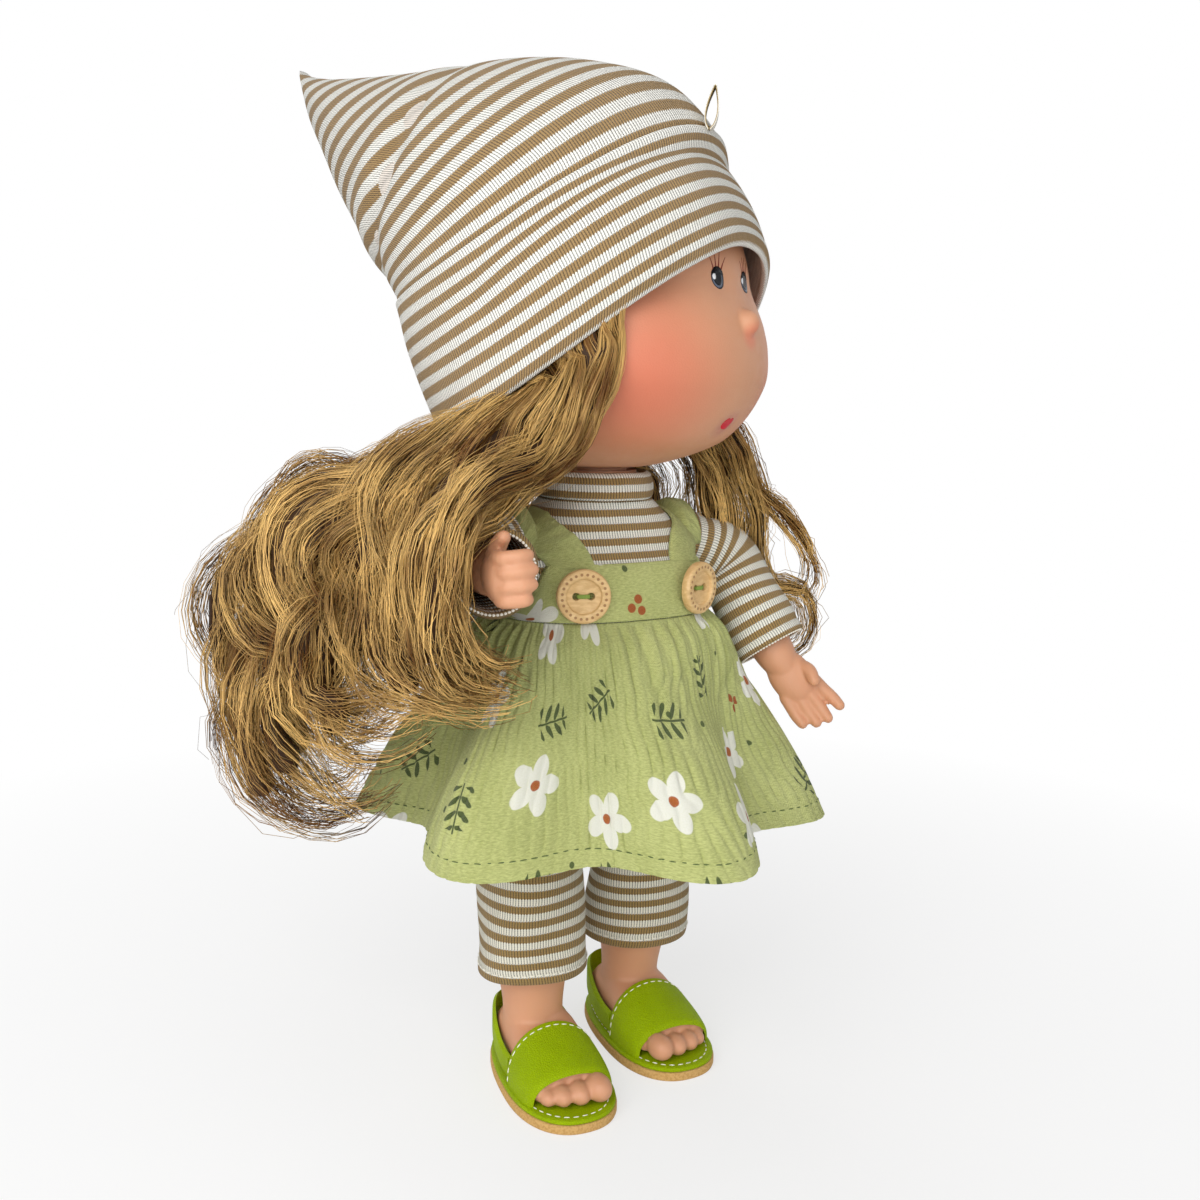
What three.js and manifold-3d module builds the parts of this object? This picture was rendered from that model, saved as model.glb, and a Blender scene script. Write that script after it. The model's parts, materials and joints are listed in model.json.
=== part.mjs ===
import * as THREE from "three";
import { mergeVertices } from "three/addons/utils/BufferGeometryUtils.js";
import Module from "manifold-3d";

const wasm = await Module();
wasm.setup();

// Lengths in millimetres, angles in degrees. The doll faces -Y, its left hand is towards +X, +Z is up.

// Fits between pieces
const restGap = 0.3;
const jointGap = 0.35;
const clothGap = 0.4;

// Heights that set the build of the doll
const legLength = 101;
const torsoLength = 80;
const neckLength = 8.3;

// Vinyl torso, half widths and half depths at its levels
const vinylWall = 2.6;
const crotchDrop = 15;
const keelHalfWidth = 6;
const hipClearHeight = 18.6;
const hipHalfWidth = 31.5;
const hipHalfDepth = 23.5;
const bellyHalfWidth = 31;
const bellyHalfDepth = 25.5;
const waistHalfWidth = 30;
const waistHalfDepth = 24.2;
const chestHalfWidth = 29;
const chestHalfDepth = 22;
const shoulderHalfWidth = 27.5;
const shoulderHalfDepth = 17.5;
const torsoSquareness = 2.5;
const neckRadius = 12.5;

// Neck joint
const neckPostRadius = 9.6;
const neckFlangeRadius = 12;
const neckFlangeThickness = 2.4;
const neckBoreRadius = 6;

// Vinyl head
const headHalfWidth = 50.3;
const headHalfDepth = 51;
const headHalfHeight = 50.3;
const headTopSquareness = 2.05;
const headJawSquareness = 2.5;
const headTurn = 27;
const noseRadius = 4.2;
const noseHeight = -5;

// Hair: how far it stands out, lies back and falls from the shoulders, and its thickest lock
const hairSpread = 69;
const hairBack = 46;
const hairFall = 72;
const hairRadius = 23;

// Shoulder joint and arms
const shoulderBossRadius = 10;
const shoulderStemRadius = 3;
const shoulderHeadRadius = 5;
const plugHeadThickness = 1.6;
const armTopRadius = 9;
const armElbowRadius = 8.2;
const armWristRadius = 6;
const armReach = 38;
const armDrop = 65;
const rightArmLift = 86;
const leftArmLift = 28;
const palmHalfWidth = 7;
const palmHalfThickness = 4;
const fingerRadius = 1.9;
const fingerLength = 9;

// Hip joint and legs
const hipDrumRadius = 15.2;
const hipStemRadius = 4;
const hipHeadRadius = 6.2;
const thighOffset = 22.6;
const thighRadius = 13.8;
const kneeRadius = 12;
const calfRadius = 12.2;
const ankleRadius = 9.3;
const rightFootSide = 22.4;
const leftFootSide = 19.6;
const rightFootForward = 5;
const leftFootBack = 5;
const rightToeOut = 6;
const leftToeOut = -3;

// Feet and sandals
const soleLength = 61;
const soleToeHalfWidth = 17.4;
const soleHeelHalfWidth = 13.6;
const soleThickness = 2.8;
const soleEdge = 0.2;
const insoleThickness = 1.2;
const footHalfWidth = 12.6;
const footInstepHeight = 17;
const toeHeight = 7;
const sandalLeather = 1.1;
const frontStrapWidth = 17;
const frontStrapStart = 1.6;
const heelStrapHeight = 9;

// Cloth thicknesses
const leggingCloth = 1.2;
const jumperCloth = 1.3;
const dressCloth = 1.6;

// Leggings
const leggingHemHeight = 35.5;
const leggingHemRadius = 16.6;
const leggingRise = 30;

// Jumper
const jumperHemRise = 20.5;
const sleeveLengthShare = 0.6;
const sleeveEase = 0.5;
const sleeveCuffEase = 3.6;
const collarThickness = 5.2;
const collarHeight = 7;

// Dress
const bandHeight = 16.4;
const bandRiseShare = 0.57;
const skirtLength = 65;
const skirtHemRadius = 64;
const skirtFoldCount = 6;
const skirtFoldDepth = 9.5;
const skirtHemLift = 4;
const strapWidth = 13;
const strapOffset = 19.6;
const buttonRadius = 7.9;
const buttonThickness = 2.8;
const buttonOffset = 19;
const buttonHoleRadius = 0.9;
const buttonHoleSpacing = 3.6;
const threadRadius = 0.6;

// Hat, measured from the middle of the head: back is away from the face, up is +Z
const hatKnit = 1.3;
const hatCuffStep = 1.1;
const hatEase = 0.7;
const brimFrontHeight = 15;
const brimBackReach = 44;
const brimBackHeight = -41;
const cuffFrontReach = 36;
const cuffFrontHeight = 46;
const cuffBackReach = 61;
const cuffBackHeight = -4;
const crownHeight = 69.5;
const hatTipReach = 120;
const hatTipHeight = 77.5;
const brimSideReach = 54;
const cuffSideReach = 53.5;
const hatSideDip = 15;
const labelWidth = 8;
const labelHeight = 11;
const labelRibbon = 0.6;

// Levels worked out from the sizes above
const hipLevel = legLength;
const crotchLevel = hipLevel - crotchDrop;
const bellyLevel = hipLevel + 0.25 * torsoLength;
const waistLevel = hipLevel + 0.56 * torsoLength;
const chestLevel = hipLevel + 0.71 * torsoLength;
const shoulderLevel = hipLevel + 0.82 * torsoLength;
const neckLevel = hipLevel + torsoLength;
const chinLevel = neckLevel + neckLength;
const headLevel = chinLevel + headHalfHeight;
const shoulderFace = shoulderHalfWidth - 1;
const insoleTop = soleThickness + restGap + insoleThickness;
const footFloor = insoleTop + restGap;
const farOff = 2 * legLength;

// Offsets of the clothes from the bare torso
const leggingInner = clothGap;
const leggingOuter = leggingInner + leggingCloth;
const jumperInner = leggingOuter + clothGap;
const jumperOuter = jumperInner + jumperCloth;
const dressInner = jumperOuter + clothGap;
const dressOuter = dressInner + dressCloth;

const bandBottom = hipLevel + bandRiseShare * torsoLength;
const bandTop = bandBottom + bandHeight;

function radians(degrees) {
  return (degrees * Math.PI) / 180;
}

function mix(a, b, share) {
  return a + (b - a) * share;
}

function smooth(share) {
  const t = Math.min(1, Math.max(0, share));
  return t * t * (3 - 2 * t);
}

// Closed skin over a row of rings, each the same number of points
function skin(rings) {
  const count = rings[0].length;
  const points = [];
  const faces = [];
  for (const ring of rings) {
    for (const p of ring) points.push(p.x, p.y, p.z);
  }
  for (let r = 0; r + 1 < rings.length; r += 1) {
    for (let i = 0; i < count; i += 1) {
      const j = (i + 1) % count;
      const a = r * count + i;
      const b = r * count + j;
      faces.push(a, b, b + count, a, b + count, a + count);
    }
  }
  for (const r of [0, rings.length - 1]) {
    const middle = new THREE.Vector3();
    for (const p of rings[r]) middle.addScaledVector(p, 1 / count);
    const centre = points.length / 3;
    points.push(middle.x, middle.y, middle.z);
    for (let i = 0; i < count; i += 1) {
      const a = r * count + i;
      const b = r * count + ((i + 1) % count);
      if (r === 0) faces.push(centre, b, a);
      else faces.push(centre, a, b);
    }
  }
  return faceOut(points, faces);
}

// Closed skin of a sheet bent into a ring: outer rings, then inner rings back again
function tubeSkin(outer, inner) {
  const loop = [...outer, ...[...inner].reverse()];
  const count = loop[0].length;
  const rows = loop.length;
  const points = [];
  const faces = [];
  for (const ring of loop) {
    for (const p of ring) points.push(p.x, p.y, p.z);
  }
  for (let r = 0; r < rows; r += 1) {
    const next = (r + 1) % rows;
    for (let i = 0; i < count; i += 1) {
      const j = (i + 1) % count;
      const a = r * count + i;
      const b = r * count + j;
      const c = next * count + j;
      const d = next * count + i;
      faces.push(a, b, c, a, c, d);
    }
  }
  return faceOut(points, faces);
}

// Closed skin of a bent panel between an outer and an inner grid of points
function panelSkin(outer, inner) {
  const rows = outer.length;
  const count = outer[0].length;
  const points = [];
  const faces = [];
  for (const grid of [outer, inner]) {
    for (const row of grid) {
      for (const p of row) points.push(p.x, p.y, p.z);
    }
  }
  const at = (side, r, i) => (side * rows + r) * count + i;
  const quad = (a, b, c, d) => faces.push(a, b, c, a, c, d);
  for (let r = 0; r + 1 < rows; r += 1) {
    for (let i = 0; i + 1 < count; i += 1) {
      quad(at(0, r, i), at(0, r, i + 1), at(0, r + 1, i + 1), at(0, r + 1, i));
      quad(at(1, r, i), at(1, r + 1, i), at(1, r + 1, i + 1), at(1, r, i + 1));
    }
    quad(at(0, r, 0), at(0, r + 1, 0), at(1, r + 1, 0), at(1, r, 0));
    const end = count - 1;
    quad(at(0, r, end), at(1, r, end), at(1, r + 1, end), at(0, r + 1, end));
  }
  for (let i = 0; i + 1 < count; i += 1) {
    quad(at(0, 0, i), at(1, 0, i), at(1, 0, i + 1), at(0, 0, i + 1));
    quad(at(0, rows - 1, i), at(0, rows - 1, i + 1), at(1, rows - 1, i + 1), at(1, rows - 1, i));
  }
  return faceOut(points, faces);
}

function faceOut(points, faces) {
  let volume = 0;
  const a = new THREE.Vector3();
  const b = new THREE.Vector3();
  const c = new THREE.Vector3();
  for (let f = 0; f < faces.length; f += 3) {
    a.fromArray(points, faces[f] * 3);
    b.fromArray(points, faces[f + 1] * 3);
    c.fromArray(points, faces[f + 2] * 3);
    volume += a.dot(b.cross(c));
  }
  if (volume < 0) {
    for (let f = 0; f < faces.length; f += 3) {
      const held = faces[f + 1];
      faces[f + 1] = faces[f + 2];
      faces[f + 2] = held;
    }
  }
  const geometry = new THREE.BufferGeometry();
  geometry.setAttribute("position", new THREE.Float32BufferAttribute(points, 3));
  geometry.setIndex(faces);
  return geometry;
}

function solid(geometry) {
  const bare = geometry.clone();
  bare.deleteAttribute("normal");
  bare.deleteAttribute("uv");
  const merged = mergeVertices(bare, 1e-4);
  const vertProperties = new Float32Array(merged.attributes.position.array);
  const triVerts = new Uint32Array(merged.index.array);
  const mesh = new wasm.Mesh({ numProp: 3, vertProperties, triVerts });
  return new wasm.Manifold(mesh);
}

function geometryOf(body) {
  const mesh = body.getMesh();
  const geometry = new THREE.BufferGeometry();
  geometry.setAttribute("position", new THREE.Float32BufferAttribute(mesh.vertProperties, 3));
  geometry.setIndex(Array.from(mesh.triVerts));
  return geometry;
}

// The largest of the separate bodies that a cut leaves
function largest(body) {
  let best = null;
  for (const one of body.decompose()) {
    if (best === null || one.volume() > best.volume()) best = one;
  }
  return best;
}

function join(bodies) {
  return bodies.reduce((sum, body) => sum.add(body));
}

function box(low, high) {
  const geometry = new THREE.BoxGeometry(high.x - low.x, high.y - low.y, high.z - low.z);
  geometry.translate((high.x + low.x) / 2, (high.y + low.y) / 2, (high.z + low.z) / 2);
  return solid(geometry);
}

function vector(x, y, z) {
  return new THREE.Vector3(x, y, z);
}

// Solid of revolution about a line along X: pairs of distance along X and radius, from axis to axis
function turnedAlongX(profile, centre, count) {
  const points = profile.map((p) => new THREE.Vector2(p.radius, p.along));
  const geometry = new THREE.LatheGeometry(points, count);
  geometry.rotateZ(-Math.PI / 2);
  geometry.translate(centre.x, centre.y, centre.z);
  return faced(geometry);
}

function turnedAlongZ(profile, centre, count) {
  const points = profile.map((p) => new THREE.Vector2(p.radius, p.along));
  const geometry = new THREE.LatheGeometry(points, count);
  geometry.rotateX(Math.PI / 2);
  geometry.translate(centre.x, centre.y, centre.z);
  return faced(geometry);
}

function faced(geometry) {
  const bare = geometry.clone();
  bare.deleteAttribute("normal");
  bare.deleteAttribute("uv");
  const merged = mergeVertices(bare, 1e-4);
  const faces = [];
  const index = merged.index.array;
  for (let f = 0; f < index.length; f += 3) {
    const [a, b, c] = [index[f], index[f + 1], index[f + 2]];
    if (a !== b && b !== c && a !== c) faces.push(a, b, c);
  }
  return solid(faceOut(Array.from(merged.attributes.position.array), faces));
}

// Round limb along a smooth line of stops, each with its own radius
function limb(stops, count, steps, grow) {
  const line = new THREE.CatmullRomCurve3(stops.map((s) => s.at), false, "centripetal");
  const rings = [];
  const tangent = new THREE.Vector3();
  const side = vector(0, 1, 0);
  for (let k = 0; k <= steps; k += 1) {
    const share = k / steps;
    const place = share * (stops.length - 1);
    const low = Math.min(stops.length - 2, Math.floor(place));
    const part = smooth(place - low);
    const radius = mix(stops[low].radius, stops[low + 1].radius, part) + grow;
    const flat = mix(stops[low].flat ?? 1, stops[low + 1].flat ?? 1, part);
    const centre = line.getPoint(share);
    line.getTangent(share, tangent);
    const across = vector(0, 0, 0).crossVectors(tangent, side).normalize();
    const along = vector(0, 0, 0).crossVectors(across, tangent).normalize();
    const ring = [];
    for (let i = 0; i < count; i += 1) {
      const angle = (2 * Math.PI * i) / count;
      const p = centre.clone();
      p.addScaledVector(along, Math.cos(angle) * radius);
      p.addScaledVector(across, Math.sin(angle) * radius * flat);
      ring.push(p);
    }
    rings.push(ring);
  }
  return rings;
}

function squareOval(z, halfWidth, halfDepth, squareness, count) {
  const ring = [];
  for (let i = 0; i < count; i += 1) {
    const angle = (2 * Math.PI * i) / count;
    const c = Math.cos(angle);
    const s = Math.sin(angle);
    const x = Math.sign(c) * Math.abs(c) ** (2 / squareness) * halfWidth;
    const y = Math.sign(s) * Math.abs(s) ** (2 / squareness) * halfDepth;
    ring.push(vector(x, y, z));
  }
  return ring;
}

const materials = {
  vinyl: new THREE.MeshStandardMaterial({ color: 0xe2a987, roughness: 0.55 }),
  hair: new THREE.MeshStandardMaterial({ color: 0xa98550, roughness: 0.6 }),
  knit: new THREE.MeshStandardMaterial({ color: 0xc6b290, roughness: 0.95 }),
  muslin: new THREE.MeshStandardMaterial({ color: 0xa9b26c, roughness: 0.95 }),
  leather: new THREE.MeshStandardMaterial({ color: 0x86a512, roughness: 0.5 }),
  sole: new THREE.MeshStandardMaterial({ color: 0xc79c58, roughness: 0.8 }),
  wood: new THREE.MeshStandardMaterial({ color: 0xcea56a, roughness: 0.7 }),
  thread: new THREE.MeshStandardMaterial({ color: 0x7d9a3a, roughness: 0.9 }),
  ribbon: new THREE.MeshStandardMaterial({ color: 0xeee8dc, roughness: 0.8 }),
};

const doll = new THREE.Group();
doll.name = "vinyl_doll";

function place(name, shape, material) {
  const geometry = shape.isBufferGeometry ? shape : geometryOf(shape);
  geometry.computeVertexNormals();
  const mesh = new THREE.Mesh(geometry, material);
  mesh.name = name;
  doll.add(mesh);
}

// Facets round each kind of piece
const torsoSegments = 20;
const neckSegments = 18;
const headSegments = 22;
const headSteps = 12;
const hatSegments = 20;
const pinSegments = 10;
const armSegments = 12;
const legSegments = 14;
const soleSegments = 36;
const buttonSegments = 18;
const skirtSegments = 48;
const skirtRows = 6;

// Torso: levels of its outside and the smooth shape between them
const torsoLevels = [
  { z: crotchLevel, width: 0.55 * hipHalfWidth, depth: 0.62 * hipHalfDepth },
  { z: hipLevel, width: hipHalfWidth, depth: hipHalfDepth },
  { z: bellyLevel, width: bellyHalfWidth, depth: bellyHalfDepth },
  { z: waistLevel, width: waistHalfWidth, depth: waistHalfDepth },
  { z: chestLevel, width: chestHalfWidth, depth: chestHalfDepth },
  { z: shoulderLevel, width: shoulderHalfWidth, depth: shoulderHalfDepth },
  { z: neckLevel, width: neckRadius, depth: neckRadius },
];

function torsoSlope(i, key) {
  const low = torsoLevels[Math.max(0, i - 1)];
  const high = torsoLevels[Math.min(torsoLevels.length - 1, i + 1)];
  return (high[key] - low[key]) / (high.z - low.z);
}

function torsoCurve(z, key) {
  const top = torsoLevels[torsoLevels.length - 1];
  if (z >= top.z) return top[key];
  if (z <= torsoLevels[0].z) return torsoLevels[0][key];
  let i = 0;
  while (torsoLevels[i + 1].z < z) i += 1;
  const low = torsoLevels[i];
  const high = torsoLevels[i + 1];
  const span = high.z - low.z;
  const t = (z - low.z) / span;
  const a = low[key];
  const b = high[key];
  const ta = torsoSlope(i, key) * span;
  const tb = torsoSlope(i + 1, key) * span;
  const t2 = t * t;
  const t3 = t2 * t;
  const values = (2 * t3 - 3 * t2 + 1) * a + (3 * t2 - 2 * t3) * b;
  return values + (t3 - 2 * t2 + t) * ta + (t3 - t2) * tb;
}

// Levels where every layer on the torso bends, so that the layers stay an even distance apart
const torsoBends = [];
for (let i = 0; i + 1 < torsoLevels.length; i += 1) {
  const low = torsoLevels[i].z;
  const high = torsoLevels[i + 1].z;
  torsoBends.push(low);
  if (high - low > 0.12 * torsoLength) torsoBends.push((low + high) / 2);
}
torsoBends.push(neckLevel);

function torsoSize(z, key) {
  const inside = Math.min(neckLevel, Math.max(crotchLevel, z));
  let i = 0;
  while (i + 2 < torsoBends.length && torsoBends[i + 1] < inside) i += 1;
  const share = (inside - torsoBends[i]) / (torsoBends[i + 1] - torsoBends[i]);
  return mix(torsoCurve(torsoBends[i], key), torsoCurve(torsoBends[i + 1], key), share);
}

function torsoRing(z, grow, count) {
  return squareOval(z, torsoSize(z, "width") + grow, torsoSize(z, "depth") + grow, torsoSquareness, count);
}

function torsoRings(low, high, grow, count = torsoSegments) {
  const between = torsoBends.filter((z) => z > low + 0.5 && z < high - 0.5);
  return [low, ...between, high].map((z) => torsoRing(z, grow, count));
}

// Room beside the keel for the tops of the legs
function hipRoom(halfKeel, top) {
  const reach = 3 * hipHalfWidth;
  const left = box(vector(halfKeel, -reach, -reach), vector(reach, reach, top));
  const right = box(vector(-reach, -reach, -reach), vector(-halfKeel, reach, top));
  return left.add(right);
}

const hipRoomTop = hipLevel + hipClearHeight;
const headFloor = chinLevel + vinylWall;
const flangeLevel = headFloor + jointGap;

function shoulderPart(side, profile, count) {
  const body = turnedAlongX(profile, vector(0, 0, shoulderLevel), count);
  return side > 0 ? body : body.mirror([1, 0, 0]);
}

function hipPart(side, profile, count) {
  const body = turnedAlongX(profile, vector(0, 0, hipLevel), count);
  return side > 0 ? body : body.mirror([1, 0, 0]);
}

function pin(from, to, radius) {
  return [
    { along: from, radius: 0 },
    { along: from, radius },
    { along: to, radius },
    { along: to, radius: 0 },
  ];
}

function makeTorso() {
  let body = solid(skin(torsoRings(crotchLevel, neckLevel, 0)));
  const underJumper = solid(skin(torsoRings(crotchLevel, neckLevel, leggingOuter)));
  for (const side of [-1, 1]) {
    const boss = shoulderPart(side, pin(0, shoulderFace, shoulderBossRadius), armSegments);
    body = body.add(boss.intersect(underJumper));
    body = body.subtract(sleeveRoom(side, 0));
  }
  body = body.subtract(hipRoom(keelHalfWidth, hipRoomTop));
  const neck = turnedAlongZ(
    [
      { along: neckLevel - 4, radius: 0 },
      { along: neckLevel - 4, radius: neckRadius },
      { along: chinLevel - jointGap, radius: neckRadius },
      { along: chinLevel - jointGap, radius: neckPostRadius },
      { along: flangeLevel, radius: neckPostRadius },
      { along: flangeLevel, radius: neckFlangeRadius },
      { along: flangeLevel + neckFlangeThickness, radius: neckFlangeRadius - 0.8 },
      { along: flangeLevel + neckFlangeThickness, radius: 0 },
    ],
    vector(0, 0, 0),
    neckSegments,
  );
  body = body.add(neck);
  const hollowTop = neckLevel - 2 * vinylWall;
  let hollow = solid(skin(torsoRings(crotchLevel + vinylWall, hollowTop, -vinylWall, torsoSegments / 2)));
  const inside = shoulderFace - vinylWall;
  hollow = hollow.intersect(box(vector(-inside, -farOff, 0), vector(inside, farOff, 2 * farOff)));
  hollow = hollow.subtract(hipRoom(keelHalfWidth - vinylWall, hipRoomTop + vinylWall));
  body = body.subtract(hollow);
  const bore = pin(shoulderLevel, flangeLevel + 2 * neckFlangeThickness, neckBoreRadius);
  body = body.subtract(turnedAlongZ(bore, vector(0, 0, 0), neckSegments));
  for (const side of [-1, 1]) {
    const hipInside = keelHalfWidth - vinylWall;
    const shoulderPocket = pin(inside - 3 * plugHeadThickness, inside, shoulderHeadRadius + 1);
    const shoulderHole = pin(inside - 1, shoulderFace + 1, shoulderStemRadius + jointGap);
    const hipPocket = pin(0, hipInside, hipHeadRadius + 1);
    const hipHole = pin(hipInside - 1, keelHalfWidth + 1, hipStemRadius + jointGap);
    body = body.subtract(shoulderPart(side, shoulderPocket, pinSegments));
    body = body.subtract(shoulderPart(side, shoulderHole, pinSegments));
    body = body.subtract(hipPart(side, hipPocket, pinSegments));
    body = body.subtract(hipPart(side, hipHole, pinSegments));
  }
  return largest(body);
}

// Share of the head's full width left at a height above its middle
function headShare(up) {
  const squareness = up > 0 ? headTopSquareness : headJawSquareness;
  return (1 - Math.abs(up / headHalfHeight) ** squareness) ** (1 / squareness);
}

// Head: rounded block with a hollow, a neck hole and a nose
function headRings(grow, steps, count) {
  const rings = [];
  for (let k = 0; k <= steps; k += 1) {
    const angle = mix(-0.5, 0.5, mix(0.02, 0.98, k / steps)) * Math.PI;
    const squareness = angle > 0 ? headTopSquareness : headJawSquareness;
    const c = Math.cos(angle) ** (2 / squareness);
    const s = Math.sign(angle) * Math.abs(Math.sin(angle)) ** (2 / squareness);
    const ring = squareOval(
      s * (headHalfHeight + grow),
      c * (headHalfWidth + grow),
      c * (headHalfDepth + grow),
      2,
      count,
    );
    rings.push(ring);
  }
  return rings;
}

function headSolid(grow, steps, count) {
  return solid(skin(headRings(grow, steps, count)));
}

function ball(radius, centre, wide, high) {
  const geometry = new THREE.SphereGeometry(radius, wide, high);
  geometry.translate(centre.x, centre.y, centre.z);
  return faced(geometry);
}

function makeHead() {
  const noseOut = headHalfDepth * headShare(noseHeight);
  const nose = ball(noseRadius, vector(0, -noseOut - 0.15 * noseRadius, noseHeight), 10, 6);
  const outside = headSolid(0, headSteps, headSegments).add(nose);
  const hollow = headSolid(-vinylWall, 7, 16);
  const hole = turnedAlongZ(
    pin(-headHalfHeight - 2, -headHalfHeight + 3 * vinylWall, neckPostRadius + jointGap),
    vector(0, 0, 0),
    neckSegments,
  );
  const seat = turnedAlongZ(
    pin(vinylWall - headHalfHeight, 4 * vinylWall - headHalfHeight, neckFlangeRadius + 1),
    vector(0, 0, 0),
    neckSegments,
  );
  return outside.subtract(hollow).subtract(hole).subtract(seat);
}

// Puts a body made about the middle of the head into its turned place
function onHead(body) {
  return body.rotate([0, 0, headTurn]).translate([0, 0, headLevel]);
}

// Hat: rings between a front-top line and a back line, both in the head's middle plane
const cuffStation = 3;

function hatStations(grow) {
  const brimWall = clothGap + hatCuffStep + hatKnit;
  const brimFront = headHalfDepth * headShare(brimFrontHeight) + brimWall;
  const lowHeight = mix(brimFrontHeight, cuffFrontHeight, 0.33);
  const midHeight = mix(brimFrontHeight, cuffFrontHeight, 0.66);
  const front = [
    [-brimFront, brimFrontHeight],
    [-headHalfDepth * headShare(lowHeight) - brimWall, lowHeight],
    [-headHalfDepth * headShare(midHeight) - brimWall, midHeight],
    [-cuffFrontReach, cuffFrontHeight],
    [-0.66 * cuffFrontReach, mix(cuffFrontHeight, crownHeight, 0.58)],
    [0.13 * hatTipReach, crownHeight],
    [0.56 * hatTipReach, crownHeight],
    [0.86 * hatTipReach, mix(crownHeight, hatTipHeight, 0.3)],
    [0.98 * hatTipReach, mix(crownHeight, hatTipHeight, 0.7)],
  ];
  const back = [
    [brimBackReach, brimBackHeight],
    [mix(brimBackReach, cuffBackReach, 0.42), mix(brimBackHeight, cuffBackHeight, 0.33)],
    [mix(brimBackReach, cuffBackReach, 0.74), mix(brimBackHeight, cuffBackHeight, 0.66)],
    [cuffBackReach, cuffBackHeight],
    [mix(cuffBackReach, hatTipReach, 0.3), mix(cuffBackHeight, hatTipHeight, 0.26)],
    [mix(cuffBackReach, hatTipReach, 0.55), mix(cuffBackHeight, hatTipHeight, 0.5)],
    [mix(cuffBackReach, hatTipReach, 0.78), mix(cuffBackHeight, hatTipHeight, 0.73)],
    [mix(cuffBackReach, hatTipReach, 0.92), mix(cuffBackHeight, hatTipHeight, 0.88)],
    [hatTipReach, mix(cuffBackHeight, hatTipHeight, 0.97)],
  ];
  const sideShares = [1, 1, 1, 1, 0.98, 0.82, 0.54, 0.22, 0.05];
  const dipShares = [1, 0.96, 0.91, 0.84, 0.66, 0.42, 0.22, 0.08, 0];
  const side = sideShares.map((share, i) => {
    return share * mix(brimSideReach, cuffSideReach, Math.min(1, i / cuffStation));
  });
  const dip = dipShares.map((share) => share * hatSideDip);
  return front.map((f, i) => ({ front: f, back: back[i], side: side[i] + grow, dip: dip[i], grow }));
}

// Moves a point straight out from the middle of the head until it clears the head by a wall
function clearOfHead(p, wall) {
  const squareness = p.z > 0 ? headTopSquareness : headJawSquareness;
  const level = Math.hypot(p.x / headHalfWidth, p.y / headHalfDepth) ** squareness;
  const out = (level + Math.abs(p.z / headHalfHeight) ** squareness) ** (1 / squareness);
  const least = 1 + wall / headHalfWidth;
  if (out < least) p.multiplyScalar(least / out);
}

function hatRing(station, shrink) {
  const middleY = (station.front[0] + station.back[0]) / 2;
  const middleZ = (station.front[1] + station.back[1]) / 2;
  const toFront = vector(0, station.front[0] - middleY, station.front[1] - middleZ);
  const reach = toFront.length();
  toFront.normalize();
  const long = Math.max(threadRadius, reach + station.grow - shrink);
  const wide = Math.max(threadRadius, station.side - shrink);
  const wall = clothGap + hatCuffStep + hatKnit + hatEase + station.grow - shrink;
  const ring = [];
  for (let i = 0; i < hatSegments; i += 1) {
    const angle = (2 * Math.PI * i) / hatSegments;
    const p = vector(Math.sin(angle) * wide, middleY, middleZ);
    p.addScaledVector(toFront, Math.cos(angle) * long);
    p.z -= station.dip * Math.sin(angle) ** 2;
    clearOfHead(p, wall);
    ring.push(p);
  }
  return ring;
}

function hatOutside(grow) {
  const stations = hatStations(grow);
  const rings = [];
  stations.forEach((station, i) => {
    const crownStep = hatCuffStep * Math.min(1, station.side / cuffSideReach);
    rings.push(hatRing(station, i > cuffStation ? crownStep : 0));
    if (i === cuffStation) rings.push(hatRing(station, hatCuffStep));
  });
  return solid(skin(rings));
}

function hatInside(tighten) {
  const stations = hatStations(0).slice(0, -1);
  const rings = stations.map((station) => hatRing(station, hatCuffStep + hatKnit + tighten));
  const first = rings[0].map((p) => vector(p.x, p.y, p.z - 4 * hatKnit));
  return solid(skin([first, ...rings]));
}

// Room that the hat's wall takes, with a little more under its brim
function hatRoom() {
  const wall = hatOutside(clothGap).subtract(hatInside(clothGap));
  return wall.add(wall.translate([0, 0, -2 * clothGap]));
}

function makeHat() {
  const body = hatOutside(0).subtract(hatInside(0)).subtract(headSolid(clothGap, headSteps, headSegments));
  return largest(body);
}

// Hat label: a ribbon folded into a loop, standing on the front of the cuff's upper edge
function makeLabel() {
  const outline = new THREE.Shape();
  const half = 1.6 * labelRibbon + 0.6;
  outline.moveTo(-half, 0);
  outline.lineTo(-half, labelHeight - half);
  outline.absarc(0, labelHeight - half, half, Math.PI, 0, true);
  outline.lineTo(half, 0);
  outline.lineTo(half - labelRibbon, 0);
  outline.lineTo(half - labelRibbon, labelHeight - half);
  outline.absarc(0, labelHeight - half, half - labelRibbon, 0, Math.PI, false);
  outline.lineTo(-half + labelRibbon, 0);
  outline.closePath();
  const geometry = new THREE.ExtrudeGeometry(outline, {
    depth: labelWidth,
    bevelEnabled: false,
    curveSegments: 6,
  });
  geometry.translate(0, 0, -labelWidth / 2);
  geometry.rotateY(Math.PI / 2);
  geometry.rotateX(Math.PI / 2);
  geometry.rotateX(radians(8));
  geometry.translate(0, -cuffFrontReach + hatCuffStep, cuffFrontHeight - 1);
  return largest(faced(geometry).subtract(hatOutside(restGap)));
}

// Arms, made hanging for the left side about the shoulder joint, then lifted and mirrored
function armStops() {
  const reach = armReach;
  const drop = armDrop;
  return [
    { at: vector(0.16 * reach, 0, -0.03 * drop), radius: armTopRadius * 0.96 },
    { at: vector(0.53 * reach, 0, -0.15 * drop), radius: armTopRadius * 0.97 },
    { at: vector(0.66 * reach, -0.015 * drop, -0.43 * drop), radius: armElbowRadius },
    { at: vector(0.78 * reach, -0.03 * drop, -0.67 * drop), radius: armWristRadius },
  ];
}

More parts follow.
